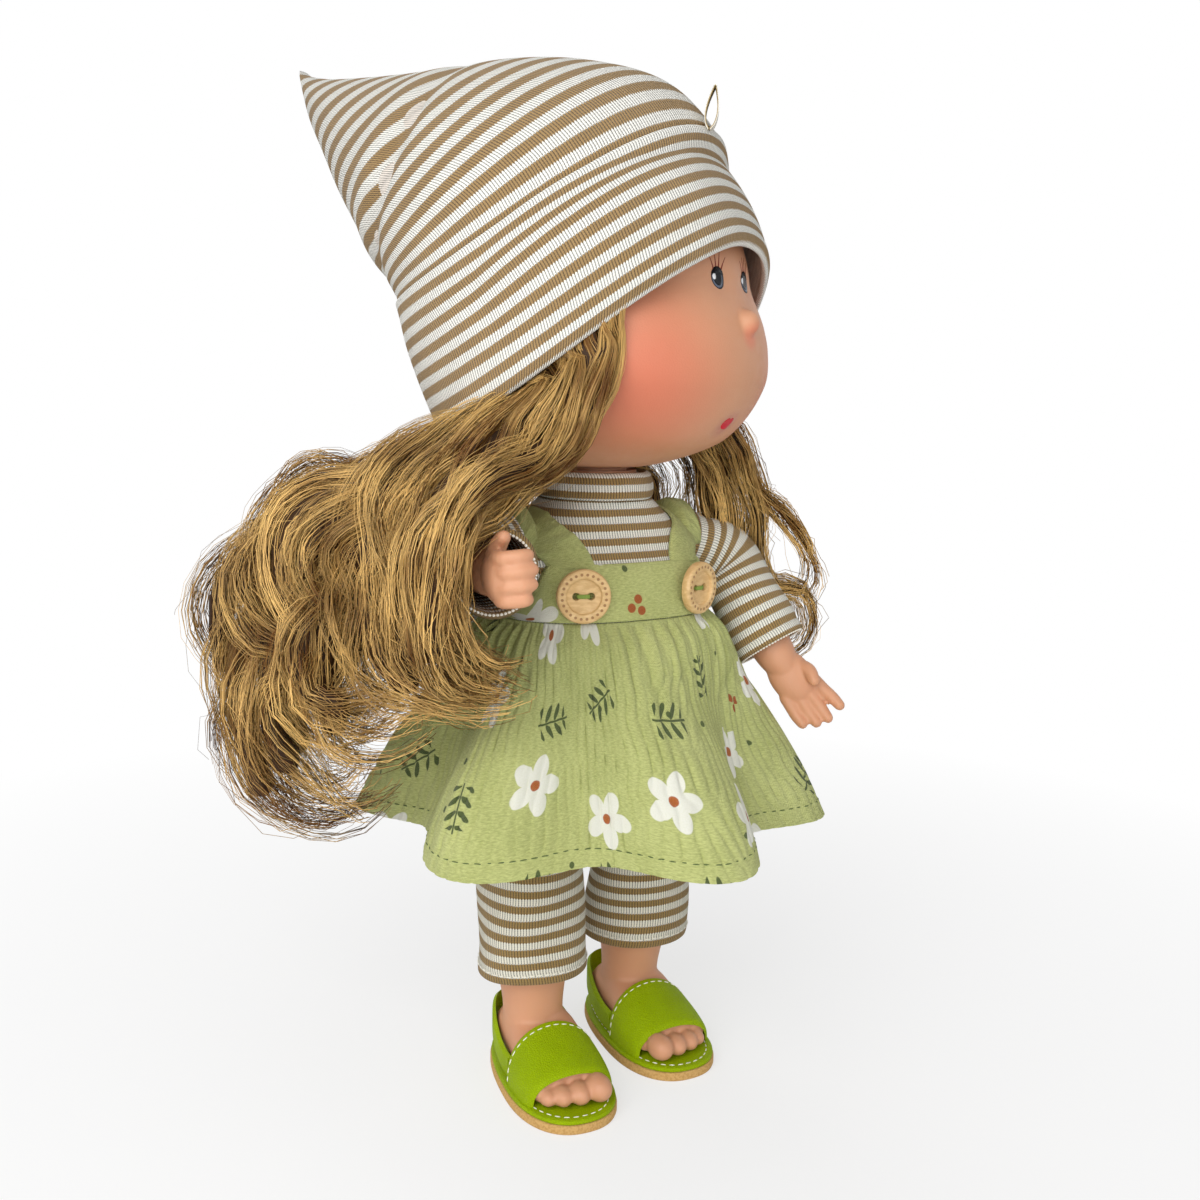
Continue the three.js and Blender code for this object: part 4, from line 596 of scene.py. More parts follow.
def jersey(name, tan, pale, period, phase=0.0, inside=None):
    """Stocking stitch in even stripes, with painted shade in the gaps between its loops: u counts the ribs
    across, v the courses up.
    """
    made, tree, shader = finish(name, {"Roughness": 0.92, "Specular IOR Level": 0.2, "Sheen Weight": 0.15,
                                       "Sheen Roughness": 0.6})
    u, v, where = flat_place(tree)
    sway = calc("MULTIPLY_ADD", grain(where, 0.35), 0.5, -0.25)
    rib = calc("MULTIPLY_ADD", u, 1 / rib_wide, sway)
    leg = calc("ABSOLUTE", calc("SUBTRACT", calc("FRACT", rib), 0.5))
    rise = calc("MULTIPLY_ADD", leg, 1.5, calc("DIVIDE", v, period / courses))
    rise = calc("MULTIPLY_ADD", sway, 0.6, rise)
    loop = calc("ADD", calc("FLOOR", rise), 0.5)
    turn = calc("FRACT", calc("ADD", calc("DIVIDE", loop, courses), phase))
    rib_top = calc("POWER", calc("COSINE", times(leg, math.pi)), 0.7)
    loop_top = calc("SINE", times(calc("FRACT", rise), math.pi))
    yarn = times(rib_top, calc("MULTIPLY_ADD", loop_top, 0.4, 0.6))
    fuzz = grain(where, 3.1, 3.0, 0.7)
    tone = calc("MULTIPLY_ADD", grain(where, 0.09, 3.0), 0.5, times(fuzz, 0.5))
    yarns = [tint(tone, colour(*(low * np.array(dye))), colour(*np.minimum(255, high * np.array(dye))))
             for dye, low, high in ((tan, 0.9, 1.16), (pale, 0.98, 1.05))]
    dyed = tint(calc("GREATER_THAN", turn, 0.5), *yarns)
    if inside is not None:
        dyed = tint(calc("LESS_THAN", v, -0.62), dyed, colour(*inside))
    # Painted shade: the dyed colour is darkened in the gaps between the ribs and loops, where the yarn lies
    # low.
    gap = spread(yarn, 0.12, 0.72, 0.24, 1.0)
    shade = wire(tree, "ShaderNodeCombineColor", {0: gap, 1: gap, 2: gap}).outputs[0]
    tree.links.new(tint(1.0, dyed, shade, "MULTIPLY"), shader.inputs["Base Color"])
    raised(shader, calc("MULTIPLY_ADD", fuzz, 0.22, yarn), 0.00035)
    return made


hat_knit = jersey("jersey_hat", (162, 132, 88), (250, 246, 236), stripe, 0.875, (246, 236, 224))
fit(hat, "head", "hat", hat_knit)


# Hat label: a short woven ribbon folded into a loop and caught in the cuff's upper edge; bare, white outside
# and tan inside.
label_high, label_wide, ribbon = 11.4, 8.0, 0.42
label_back, label_up = -35.4, 45.4
label_lean, label_twist = math.radians(8), math.radians(27)
run = np.linspace(0, 1, 61)
up = label_high * np.sin(math.pi * run) ** 0.72
gap = 0.22 + 1.45 * np.sin(math.pi * (up / label_high) ** 0.75) ** 0.9
line = np.column_stack((np.where(run < 0.5, -gap, gap), up))
line[30] = (0, label_high + 0.25)
slope = unit(np.gradient(line, axis=0))
out = np.column_stack((-slope[:, 1], slope[:, 0])) * ribbon / 2
rings = np.array([[(x * label_wide / 2, *p) for x, p in ((-1, a), (1, a), (1, b), (-1, b))]
                  for a, b in zip(line + out, line - out)])
x, y, z = (rings[..., k] for k in range(3))
c, s = math.cos(label_twist), math.sin(label_twist)
x, y = x * c - y * s, x * s + y * c
rings = np.stack((x, y * math.cos(label_lean) - z * math.sin(label_lean) + label_back,
                  y * math.sin(label_lean) + z * math.cos(label_lean) + label_up), -1)
marks = np.zeros((len(rings) + 1, 5, 2))
marks[:, :, 0] = (0, 0, 1, 1, 0)
marks[:, :, 1] = np.arange(len(rings) + 1)[:, None] * 0.4
label = wrapped("hat_label_ribbon", from_head(rings), marks)
label.data.set_sharp_from_angle(angle=math.radians(50))
ribbon_white, tree, shader = finish("ribbon_white", {"Roughness": 0.7})
u, v, _ = flat_place(tree)
sides = tint(calc("GREATER_THAN", u, 0.5), colour(240, 236, 226), colour(168, 144, 84))
cloud = grain(wire(tree, "ShaderNodeTexCoord").outputs["Object"], 500.0, 3.0)
worn = tint(cloud, colour(215, 208, 196), (1, 1, 1, 1))
tree.links.new(tint(1.0, sides, worn, "MULTIPLY"), shader.inputs["Base Color"])
raised(shader, calc("SINE", times(v, 9.0)), 0.00006)
fit(label, "head", "hat_label", ribbon_white)


# Jumper: striped cotton jersey, cut as a tube with set-in sleeves and a turned-over collar, overlocked at the
# cuffs. The body clings to the torso under the dress, the sleeves hang loose and turn with the arms.
shoulder_side = 1000 * joints["shoulder_left"]["pos_m"][0] - mid_x
shoulder_level = 1000 * joints["shoulder_left"]["pos_m"][2]
hip_level = 1000 * joints["hip_left"]["pos_m"][2]
torso_long = (shoulder_level - hip_level) / 0.82
neck_level = hip_level + torso_long
torso_at = np.array((hip_level - 15, *(hip_level + torso_long * np.array((0, 0.25, 0.56, 0.71, 0.82, 1)))))
torso_half = np.array(((17.3, 14.6), (31.5, 23.5), (31, 25.5), (30, 24.2), (29, 22), (27.5, 17.5),
                       (12.5, 12.5)))


def swelled(value, power):
    """A sine or cosine that makes a round outline squarer, with a power under 1."""
    return np.sign(value) * np.abs(value) ** power


def torso_size(level):
    """Half width and half depth of the bare torso at a level."""
    i = int(np.clip(np.searchsorted(torso_at, level) - 1, 0, 5))
    low, high = max(0, i - 1), min(6, i + 2)
    span = torso_at[i + 1] - torso_at[i]
    t = np.clip((level - torso_at[i]) / span, 0, 1)
    start = (torso_half[i + 1] - torso_half[low]) / (torso_at[i + 1] - torso_at[low]) * span
    stop = (torso_half[high] - torso_half[i]) / (torso_at[high] - torso_at[i]) * span
    return ((2 * t ** 3 - 3 * t * t + 1) * torso_half[i] + (3 * t * t - 2 * t ** 3) * torso_half[i + 1]
            + (t ** 3 - 2 * t * t + t) * start + (t ** 3 - t * t) * stop)


def torso_ring(level, grow, count=160):
    """Points round the torso at a level, from the back, grown outwards."""
    wide, deep = torso_size(level) + grow
    angle = math.pi / 2 + circle(count)
    return np.column_stack((swelled(np.cos(angle), 0.8) * wide, swelled(np.sin(angle), 0.8) * deep,
                            np.full(count, level)))


tan, cream, jersey_stripe, collar_stripe = (162, 132, 80), (250, 246, 232), 4.35, 4.2
levels = np.linspace(hip_level + 20.5, neck_level - 0.6, 70)
outer = np.array([torso_ring(z, 3.3) for z in levels])
rings = np.concatenate((outer, [torso_ring(z, 2.3) for z in levels[::-1]]))
along = lengths(outer[:, 80])
marks = knit_marks(rings, np.concatenate((along, along[::-1])))
jumper = wrapped("jumper_body_knit", rings, np.concatenate((marks, marks[:1])), closed=True)
jumper_knit = jersey("jersey_jumper", tan, cream, jersey_stripe)
fit(jumper, "torso", "jumper_body", jumper_knit)

# The collar's section, out from the neck's middle and up from its base.
profile = np.array(((13.0, -0.2), (13.1, 3.0), (13.5, 5.9), (14.4, 7.3), (15.6, 7.7), (16.8, 7.2),
                    (17.6, 5.8), (18.05, 3.8), (18.2, 2.0), (18.1, 0.7), (17.6, -0.15), (16.9, -0.3),
                    (16.4, 0.4), (16.2, 1.6), (15.4, 2.0), (14.0, 0.0)))
fine = through(np.vstack((profile, profile[:1])), np.linspace(0, len(profile), 97)[:-1])
turns = math.pi / 2 + circle(150)
wave = 0.35 * np.sin(3 * turns + 0.6) + 0.22 * np.sin(5 * turns + 2.0) + 0.12 * np.sin(11 * turns)
rings = []
for r, z in fine:
    out = r + wave * (r > 15)
    rings.append(np.column_stack((out * np.cos(turns), out * np.sin(turns),
                                  neck_level + z + 0.25 * wave + 0.012 * r * np.sin(turns))))
marks = knit_marks(rings, lengths(fine))
collar = wrapped("jumper_collar_knit", rings, np.concatenate((marks, marks[-1:] + (0, 0.5))), closed=True)
fit(collar, "torso", "jumper_collar", jersey("jersey_collar", tan, cream, collar_stripe, 0.3))

arm_reach, arm_drop = 38.0, 65.0
arm_lift = {"right": math.radians(86), "left": math.radians(28)}
arm_line = np.array(((0.16, 0, -0.03), (0.53, 0, -0.15), (0.66, -0.015, -0.43), (0.78, -0.03, -0.67)))
arm_line = arm_line * (arm_reach, arm_drop, arm_drop)


def lifted(points, name):
    """From the hanging left arm, about its shoulder, to either arm in its place."""
    p = np.asarray(points, float)
    c, s = math.cos(arm_lift[name]), math.sin(arm_lift[name])
    y, z = p[..., 1] * c + p[..., 2] * s, p[..., 2] * c - p[..., 1] * s
    side = 1 if name == "left" else -1
    return np.stack((side * (p[..., 0] + shoulder_side), y, z + shoulder_level), -1)


def around(line, way, radii, count, aside=(0, 1, 0)):
    """Rings of points round a line, square to the directions given for its points."""
    side = unit(np.cross(way, aside))
    front = np.cross(side, way)
    angle = circle(count)
    return (line[:, None] + (radii * np.cos(angle))[..., None] * front[:, None]
            + (radii * np.sin(angle))[..., None] * side[:, None])


def tube(line, radii, count, first=None):
    """Rings square to a line of points; first is the direction that the line starts in."""
    line = np.asarray(line, float)
    way = np.gradient(line, axis=0)
    if first is not None:
        share = soft(0, 1, np.linspace(0, 3, len(line)))[:, None]
        way = unit(way) * share + np.asarray(first, float) * (1 - share)
    radii = np.asarray(radii, float)
    return around(line, unit(way), radii if radii.ndim > 1 else radii[:, None], count)


def node_group(name, inputs):
    """A new geometry node group with named inputs besides its geometry, and the sockets that they give."""
    group = bpy.data.node_groups.new(name, "GeometryNodeTree")
    for label, kind in {"Geometry": "Geometry", **inputs}.items():
        group.interface.new_socket(label, in_out="INPUT", socket_type="NodeSocket" + kind)
    group.interface.new_socket("Geometry", in_out="OUTPUT", socket_type="NodeSocketGeometry")
    return group, group.nodes.new("NodeGroupInput").outputs


def closing(group, shape, material):
    """Ends a node group with real geometry in its material."""
    real = wire(group, "GeometryNodeRealizeInstances", {0: shape}).outputs[0]
    done = wire(group, "GeometryNodeSetMaterial", {"Geometry": real, "Material": material}).outputs[0]
    group.links.new(done, group.nodes.new("NodeGroupOutput").inputs[0])
    return group


def stitch_nodes(name):
    """Geometry nodes that lay short round-ended stitches along the lines they are given."""
    group, given = node_group(name, {"Spacing": "Float", "Length": "Float", "Thickness": "Float",
                                     "Thread": "Material"})
    line = wire(group, "GeometryNodeMeshToCurve", {"Mesh": given["Geometry"]}).outputs[0]
    spots = wire(group, "GeometryNodeCurveToPoints", {"Curve": line, "Length": given["Spacing"]},
                 mode="LENGTH")
    spots = spots.outputs
    bead = wire(group, "GeometryNodeMeshUVSphere", {"Segments": 6, "Rings": 5, "Radius": 1.0}).outputs["Mesh"]
    bead = wire(group, "GeometryNodeSetShadeSmooth", {0: bead}).outputs[0]
    half = times(given["Length"], 0.5)
    thick = given["Thickness"]
    size = wire(group, "ShaderNodeCombineXYZ", {0: thick, 1: thick, 2: half}).outputs[0]
    laid = wire(group, "GeometryNodeInstanceOnPoints", {
        "Points": spots["Points"], "Instance": bead, "Rotation": spots["Rotation"], "Scale": size}).outputs[0]
    return closing(group, laid, given["Thread"])


def plain(name, source):
    """The plain mesh that an object's modifiers make."""
    mesh = bpy.data.meshes.new_from_object(source.evaluated_get(bpy.context.evaluated_depsgraph_get()))
    mesh.name = name
    return mesh


def made_by(name, source, group, **values):
    """Runs geometry nodes on a line mesh with the given inputs and keeps the plain mesh that they make."""
    nodes = source.modifiers.new("nodes", "NODES")
    nodes.node_group = group
    for item in group.interface.items_tree:
        if item.in_out == "INPUT" and item.name in values:
            nodes[item.identifier] = values[item.name]
    mesh, old = plain(name, source), source.data
    bpy.data.objects.remove(source)
    bpy.data.meshes.remove(old)
    return shown(name, mesh)


def lines(name, paths):
    """A mesh of plain edges along rows of points in doll millimetres."""
    count, edges = 0, []
    for path in paths:
        edges += [(count + k, count + k + 1) for k in range(len(path) - 1)]
        count += len(path)
    mesh = bpy.data.meshes.new(name)
    mesh.from_pydata([tuple(p) for p in place(np.concatenate(paths))], edges, [])
    return shown(name, mesh)


running_stitch = stitch_nodes("running_stitch")


def sewn(name, paths, spacing, length, thick, thread):
    """A row of stitches along rows of points; sizes are in metres."""
    return made_by(name, lines("sewing_line", paths), running_stitch, Spacing=spacing, Length=length,
                   Thickness=thick, Thread=thread)


thread_white = finish("thread_white", {"Base Color": colour(244, 240, 228), "Roughness": 0.7})[0]
sleeve_long, sleeve_wall = {"right": 1.0, "left": 0.72}, 1.15
place_along = np.linspace(0, 4, 92)
ease = np.interp(place_along, (0, 1, 2, 3, 4), (10.6, 10.9, 11.3, 11.6, 11.4))
angle = circle(120)
shape = np.random.default_rng(5)
for name in ("right", "left"):
    cuff = arm_line[2] + (arm_line[3] - arm_line[2]) * sleeve_long[name]
    stops = np.array(((0.4, 0, 0), (0.2 * arm_reach, 0, -0.035 * arm_drop), arm_line[1], arm_line[2], cuff))
    line = through(stops, place_along)
    puff = np.zeros((len(line), 120))
    for k in range(9):
        turn, slant, phase = shape.integers(1, 4), shape.uniform(1.5, 5.0), shape.uniform(0, 6.28)
        puff += 0.22 * np.sin(turn * angle[None] + slant * place_along[:, None] + phase)
    puff *= (soft(0.4, 1.6, place_along) * (0.4 + 0.6 * soft(4.0, 3.4, place_along)))[:, None]
    hem = 0.35 * soft(3.62, 3.7, place_along) + 0.25 * soft(3.94, 4.0, place_along)
    outer = tube(line, ease[:, None] + puff + hem[:, None], 120, (1, 0, 0))
    lip = tube(line[-2:], np.array((ease[-1] + 0.1, ease[-1] - 0.5)), 120)[1:] + (line[-1] - line[-2]) * 1.2
    inner = tube(line, ease[:, None] + puff - sleeve_wall, 120, (1, 0, 0))[::-1]
    rings = np.concatenate((outer, lip, inner))
    along = lengths(line)
    marks = knit_marks(rings, np.concatenate((along, [along[-1] + 0.6], along[::-1] - 0.2)))
    sleeve = wrapped(f"jumper_sleeve_{name}_knit", lifted(rings, name), np.concatenate((marks, marks[:1])),
                     closed=True)
    edge = lifted(lip[0], name)
    seam = sewn(f"jumper_overlock_{name}", [np.vstack((edge, edge[:1]))], 0.00105, 0.0009, 0.00042,
                thread_white)
    fit(seam, f"arm_{name}")
    fit(sleeve, f"arm_{name}", f"jumper_sleeve_{name}", jumper_knit)


# Arms: soft matt vinyl, each one moulding from the shoulder plug to the hand, with separate stubby fingers.
# The right hand is half closed, the left one open and hanging.
def points_of(mesh):
    """A mesh's points in the doll's millimetres."""
    spots = np.empty(len(mesh.vertices) * 3, np.float32)
    mesh.vertices.foreach_get("co", spots)
    return spots.reshape(-1, 3).astype(float) * 1000 - (mid_x, mid_y, 0)


def melt(name, parts, grid, passes):
    """Joins closed shells into one skin on an even grid, in metres, and softens it."""
    corners, sizes, points, count = [], [], [], 0
    for part in parts:
        mesh = part.data
        index, total = np.empty(len(mesh.loops), np.int32), np.empty(len(mesh.polygons), np.int32)
        mesh.loops.foreach_get("vertex_index", index)
        mesh.polygons.foreach_get("loop_total", total)
        points.append(points_of(mesh))
        corners.append(index + count)
        sizes.append(total)
        count += len(mesh.vertices)
        bpy.data.objects.remove(part)
        bpy.data.meshes.remove(mesh)
    whole = skin(name + "_rough", np.concatenate(points), np.concatenate(corners), np.concatenate(sizes))
    even = whole.modifiers.new("even", "REMESH")
    even.mode, even.voxel_size = "VOXEL", grid
    calm = whole.modifiers.new("calm", "SMOOTH")
    calm.factor, calm.iterations = 0.5, passes
    mesh = plain(name, whole)
    mesh.shade_smooth()
    bpy.data.objects.remove(whole)
    return shown(name, mesh)


def rod(line, radii, put=np.asarray):
    """A round-ended rod along a few points, put in its place."""
    at = np.linspace(0, len(line) - 1, 14)
    path, size = through(line, at), through(radii, at)
    start, stop = unit(path[0] - path[1]), unit(path[-1] - path[-2])
    caps = np.radians((80, 55, 28))
    low = np.array([path[0] + start * size[0] * math.sin(a) for a in caps])
    high = np.array([path[-1] + stop * size[-1] * math.sin(a) for a in caps[::-1]])
    spine = np.vstack((low[1] - start, path, high[1] + stop))
    way = np.vstack((np.repeat([-start], 3, 0), np.gradient(spine, axis=0)[1:-1], np.repeat([stop], 3, 0)))
    size = np.concatenate((size[0] * np.cos(caps), size, size[-1] * np.cos(caps[::-1])))
    line = np.vstack((low, path, high))
    return wrapped("rod", put(around(line, unit(way), size[:, None], 18, (0.31, 0.83, 0.46))))


wrist = arm_line[3]
down = unit(np.array((0.2 * arm_reach, -0.03 * arm_drop, -0.3 * arm_drop)))
inward = unit(np.cross((0, 1, 0), down))
ahead = -np.cross(down, inward)
hand_twist = {"right": math.radians(-8), "left": math.radians(-52)}
palm_long, palm_wide, palm_thick, finger_apart = 8.6, 6.9, 4.1, 3.55
for name in ("right", "left"):
    def put(rings):
        return lifted(rings, name)

    stops = np.vstack(((1.2, 0, 0.2), arm_line, wrist + down * 7))
    at = np.linspace(0, 5, 40)
    size = np.interp(at, (0, 1, 2, 3, 4, 5), (8.2, 8.7, 8.6, 7.9, 6.2, 3.2))
    parts = [wrapped("arm_tube", put(tube(through(stops, at), size, 36, (1, 0, 0))))]
    twist = hand_twist[name]
    wide = ahead * math.cos(twist) + inward * math.sin(twist)
    palm_in = inward * math.cos(twist) - ahead * math.sin(twist)
    middle = wrist + down * 7.6
    turn = circle(30)
    oval_ring = np.outer(palm_wide * np.cos(turn), wide) + np.outer(palm_thick * np.sin(turn), palm_in)
    palm = [middle + down * palm_long * math.cos(a) + math.sin(a) ** 0.7 * oval_ring
            for a in np.linspace(math.pi - 0.15, 0.15, 22)]
    parts.append(wrapped("palm", put(np.array(palm))))
    base = middle + wide * 5.0 - down * 2.0
    # Each finger's line starts at its knuckle, and the thumb's at the side of the palm.
    for k, long in enumerate((1.0, 1.1, 1.03, 0.84)):
        off = 1.5 - k
        root = middle + down * 4.4 + wide * off * finger_apart
        fan = wide * off * 0.35
        if name == "right":
            line = (root, root + down * 3.4 * long + palm_in * 1.2,
                    root + down * 4.6 * long + palm_in * 5.0 + 0.2 * fan,
                    root + down * 3.6 * long + palm_in * 7.4 * long + 0.4 * fan)
        else:
            apart = wide * (1.0 if k == 0 else 0.0)
            line = (root, root + down * 4.4 * long + 0.5 * fan + 0.4 * apart,
                    root + down * 8.2 * long + fan + apart - palm_in * 0.2,
                    root + down * 11.6 * long + 0.8 * fan + 1.5 * apart + palm_in * 0.9)
        parts.append(rod(line, (2.15, 2.1, 2.0, 1.75), put))
    if name == "right":
        line = (base, base + wide * 3.2 + down * 2.4 + palm_in * 1.2,
                base + wide * 5.2 + down * 5.6 + palm_in * 2.4)
    else:
        line = (base - wide * 1.5, base + wide * 0.5 + down * 3.4 + palm_in * 2.8,
                base + down * 7.0 + palm_in * 5.0)
    parts.append(rod(line, (2.5, 2.35, 1.9), put))
    fit(melt(f"arm_{name}_skin", parts, 0.00054, 3), f"arm_{name}", f"arm_{name}", vinyl)


# Dress: green crepe cotton muslin with a scattered print of flowers, sprigs and berries. A gathered skirt is
# sewn to a plain waistband, and two wide shoulder straps run from the band over the shoulders to its back.
band_tall, band_dip, band_cloth, cloth_in = 16.4, 12.5, 1.6, 3.7
band_low = hip_level + 0.57 * torso_long
band_high = band_low + band_tall
yarn_apart = 0.62


def muslin(name, printed=True):
    """Crinkled muslin. UV is in millimetres on the flat cloth."""
    made, tree, shader = finish(name, {"Roughness": 0.92, "Specular IOR Level": 0.18, "Sheen Weight": 0.12})
    u, v, where = flat_place(tree)
    long = wire(tree, "ShaderNodeCombineXYZ", {0: times(u, 0.7), 1: times(v, 2.4)}).outputs[0]
    slub = grain(long, 1.0, 3.0, 0.65)
    warp, weft = (calc("SINE", times(way, 2 * math.pi / yarn_apart)) for way in (u, v))
    tone = calc("MULTIPLY_ADD", slub, 0.75, times(grain(where, 0.06, 3.0), 0.3))
    cloth = tint(spread(tone, 0.3, 0.72), colour(164, 171, 102), colour(206, 211, 140))
    if printed:
        cloth = flowers(where, cloth)
    tree.links.new(cloth, shader.inputs["Base Color"])
    raised(shader, calc("MULTIPLY_ADD", times(warp, weft), 0.22, slub), 0.00045)
    return made


def scatter(where, cell, seed):
    """A printed motif's own place in a scattered layout: its x, y, radius, angle and a number of its own."""
    tree = where.id_data
    spot = wire(tree, "ShaderNodeMapping", {"Vector": where, "Location": (seed, 0.37 * seed, 0)}).outputs[0]
    cells = wire(tree, "ShaderNodeTexVoronoi", {"Vector": spot, "Scale": 1 / cell, "Randomness": 0.5},
                 voronoi_dimensions="2D").outputs
    own = wire(tree, "ShaderNodeSeparateColor", {0: cells["Color"]}).outputs
    turned = wire(tree, "ShaderNodeVectorRotate", {"Vector": vector("SUBTRACT", spot, cells["Position"]),
                                                   "Angle": times(own[1], 6.28)}).outputs[0]
    x, y, _ = wire(tree, "ShaderNodeSeparateXYZ", {0: turned}).outputs
    return x, y, vector("LENGTH", turned), calc("ARCTAN2", y, x), own[0]


def oval_mask(x, y, at, half, edge=0.12):
    """One inside an oval whose middle lies at a distance along x, fading over its edge."""
    a, b = calc("DIVIDE", calc("SUBTRACT", x, at), half[0]), calc("DIVIDE", y, half[1])
    far = calc("SQRT", calc("ADD", times(a, a), times(b, b)))
    return spread(far, 1 - edge, 1 + edge, 1.0, 0.0)


def folded(value, period):
    """A number folded into one of its equal periods, about that period's middle."""
    return calc("SUBTRACT", times(calc("FRACT", calc("DIVIDE", value, period)), period), period / 2)


def spokes(far, angle, count, at, half, edge):
    """A number of equal ovals in a ring."""
    fold = folded(angle, 2 * math.pi / count)
    return oval_mask(times(far, calc("COSINE", fold)), times(far, calc("SINE", fold)), at, half, edge)


def flowers(where, cloth):
    """Prints white five-petal flowers, dark green sprigs and rust berries on a cloth colour."""
    worn = calc("MULTIPLY_ADD", grain(where, 2.2, 3.0), -0.35, 1.12)
    x, y, far, angle, own = scatter(where, 27.0, 11.0)
    is_flower, is_berry = calc("LESS_THAN", own, 0.42), calc("GREATER_THAN", own, 0.75)
    is_sprig = times(calc("GREATER_THAN", own, 0.42), calc("LESS_THAN", own, 0.75))
    petal = spokes(far, angle, 5, 4.9, (3.9, 2.75), 0.06)
    eye = spread(far, 1.35, 1.65, 1.0, 0.0)
    beside, beyond = calc("ABSOLUTE", x), calc("ABSOLUTE", y)
    lean = calc("SUBTRACT", folded(y, 3.9), times(beside, 0.55))
    leaf = oval_mask(beside, calc("ADD", lean, 1.3), 2.6, (2.3, 0.95))
    leaf = times(leaf, spread(beyond, 5.7, 5.9, 1.0, 0.0))
    stem = times(spread(beside, 0.22, 0.42, 1.0, 0.0), spread(beyond, 6.6, 6.9, 1.0, 0.0))
    berry = spokes(far, angle, 3, 2.0, (1.35, 1.35), 0.12)
    _, _, near_dot, _, luck = scatter(where, 15.0, 3.0)
    speck = times(spread(near_dot, 0.75, 1.05, 1.0, 0.0), calc("LESS_THAN", luck, 0.3))
    for mask, ink in ((speck, (78, 92, 52)), (times(petal, is_flower), (240, 240, 228)),
                      (times(eye, is_flower), (176, 92, 44)),
                      (times(calc("MAXIMUM", leaf, stem), is_sprig), (72, 86, 50)),
                      (times(berry, is_berry), (166, 78, 34))):
        cloth = tint(times(mask, worn), cloth, colour(*ink))
    return cloth


def band_ring(share, grow):
    """Points round the waistband, its upper edge dipping under the arms."""
    flat = torso_ring(band_low + band_tall * share, grow)
    tall = band_tall - band_dip * soft(25.5, 32, np.abs(flat[:, 0]))
    return np.array([torso_ring(level, grow)[k] for k, level in enumerate(band_low + tall * share)])


muslin_plain, muslin_print = muslin("muslin_straps", False), muslin("muslin_print")
# Rows of share up the band and growth: its lower edge, its face, its upper edge and its back.
edge = [(0.0, 0.45), (0.012, 0.15), (0.035, 0)]
rows = [(s, cloth_in + band_cloth - d) for s, d in edge]
rows += [(s, cloth_in + band_cloth + 0.12 * math.sin(9 * s)) for s in np.linspace(0.07, 0.93, 26)]
rows += [(1 - s, cloth_in + band_cloth - d) for s, d in edge[::-1]]
rows += [(s, cloth_in + 0.05) for s in np.linspace(0.99, 0.01, 12)]
rings = np.array([band_ring(s, g) for s, g in rows])
marks = knit_marks(rings, [band_tall * s for s, _ in rows]) + (3.0, 0)
band = wrapped("dress_waistband_cloth", rings, np.concatenate((marks, marks[:1])), closed=True)
fit(band, "torso", "dress_waistband", muslin_print)

strap_side, strap_half, sleeve_head, strap_tuck = 19.6, 6.5, 11.2, 1.2


def strap_point(x, turn, grow):
    """A point of a shoulder strap: turn 0 at the front of the band, pi at its back."""
    levels = np.linspace(band_high, neck_level, 60)
    wide = np.array([torso_size(z)[0] for z in levels]) + grow
    top = np.interp(-abs(x), -wide, levels) if wide[-1] < abs(x) else neck_level
    z = band_high - strap_tuck + (top - band_high + strap_tuck) * math.sin(turn) ** 0.9
    w, d = torso_size(z) + grow
    y = d * max(0.0, 1 - (abs(x) / w) ** 2.5) ** 0.4
    over = (sleeve_head + grow - cloth_in) * soft(21, 27, abs(x))
    above = z - shoulder_level
    out = math.hypot(y, above)
    if out < over and above < 0:
        y = math.sqrt(over ** 2 - above ** 2)
    elif out < over:
        y, z = y * over / out, shoulder_level + above * over / out
    return x, -math.copysign(y, math.cos(turn)) if abs(math.cos(turn)) > 1e-6 else 0.0, z


pucker = np.random.default_rng(12)
across = np.linspace(-1, 1, 25)
bend = 0.35 * np.cos(math.pi * across) - 0.55 * np.exp(-(across / 0.09) ** 2)
thick = np.sqrt(np.clip(1 - across ** 8, 0, 1))
for name, side in (("right", -1), ("left", 1)):
    bumps = [(pucker.uniform(14, 30), pucker.uniform(0, 6.28), pucker.uniform(-3, 3)) for _ in range(6)]
    rings = []
    for turn in np.linspace(0, math.pi, 90):
        ripple = sum(np.sin(n * turn + p + q * across) for n, p, q in bumps) * 0.07
        swell = cloth_in + (band_cloth + 0.25 * bend + ripple * (0.4 + np.abs(across))) * thick
        rise = soft(0.0, 0.9, math.sin(turn))
        x = side * (strap_side + 6.6 * rise) + (strap_half - 0.6 * rise) * across
        rings.append([strap_point(*spot) for spot in zip(x, [turn] * 25, swell)]
                     + [strap_point(spot, turn, cloth_in + 0.02) for spot in x[::-1]])
    rings = np.array(rings)
    round_u = np.concatenate((across, across[::-1], across[:1])) * strap_half
    marks = np.dstack(np.broadcast_arrays(round_u[None], lengths(rings[:, 12])[:, None]))
    strap = wrapped(f"dress_strap_{name}_cloth", rings, np.concatenate((marks, marks[-1:])), thin=True)
    fit(strap, "torso", f"dress_strap_{name}", muslin_plain)


# Skirt: a straight strip of the same muslin gathered onto the waistband's lower edge, hemmed with a dark
# running stitch. It stands out in six soft folds with narrow uneven crinkles between them.
skirt_top, skirt_long, skirt_reach = band_low - 0.3, 65.0, 64.0
fold_deep, fold_count = 9.5, 6
hem_up, flat_long = 4.6, 0.072
hem_share = 1 - hem_up / skirt_long
crepe = np.random.default_rng(21)
crinkles = [(int(crepe.integers(30, 68)), crepe.uniform(0, 6.28), crepe.uniform(-2.5, 2.5),
             crepe.uniform(8, 30), crepe.uniform(0, 6.28)) for _ in range(22)]
gathers = [(int(crepe.integers(38, 66)), crepe.uniform(0, 6.28)) for _ in range(5)]


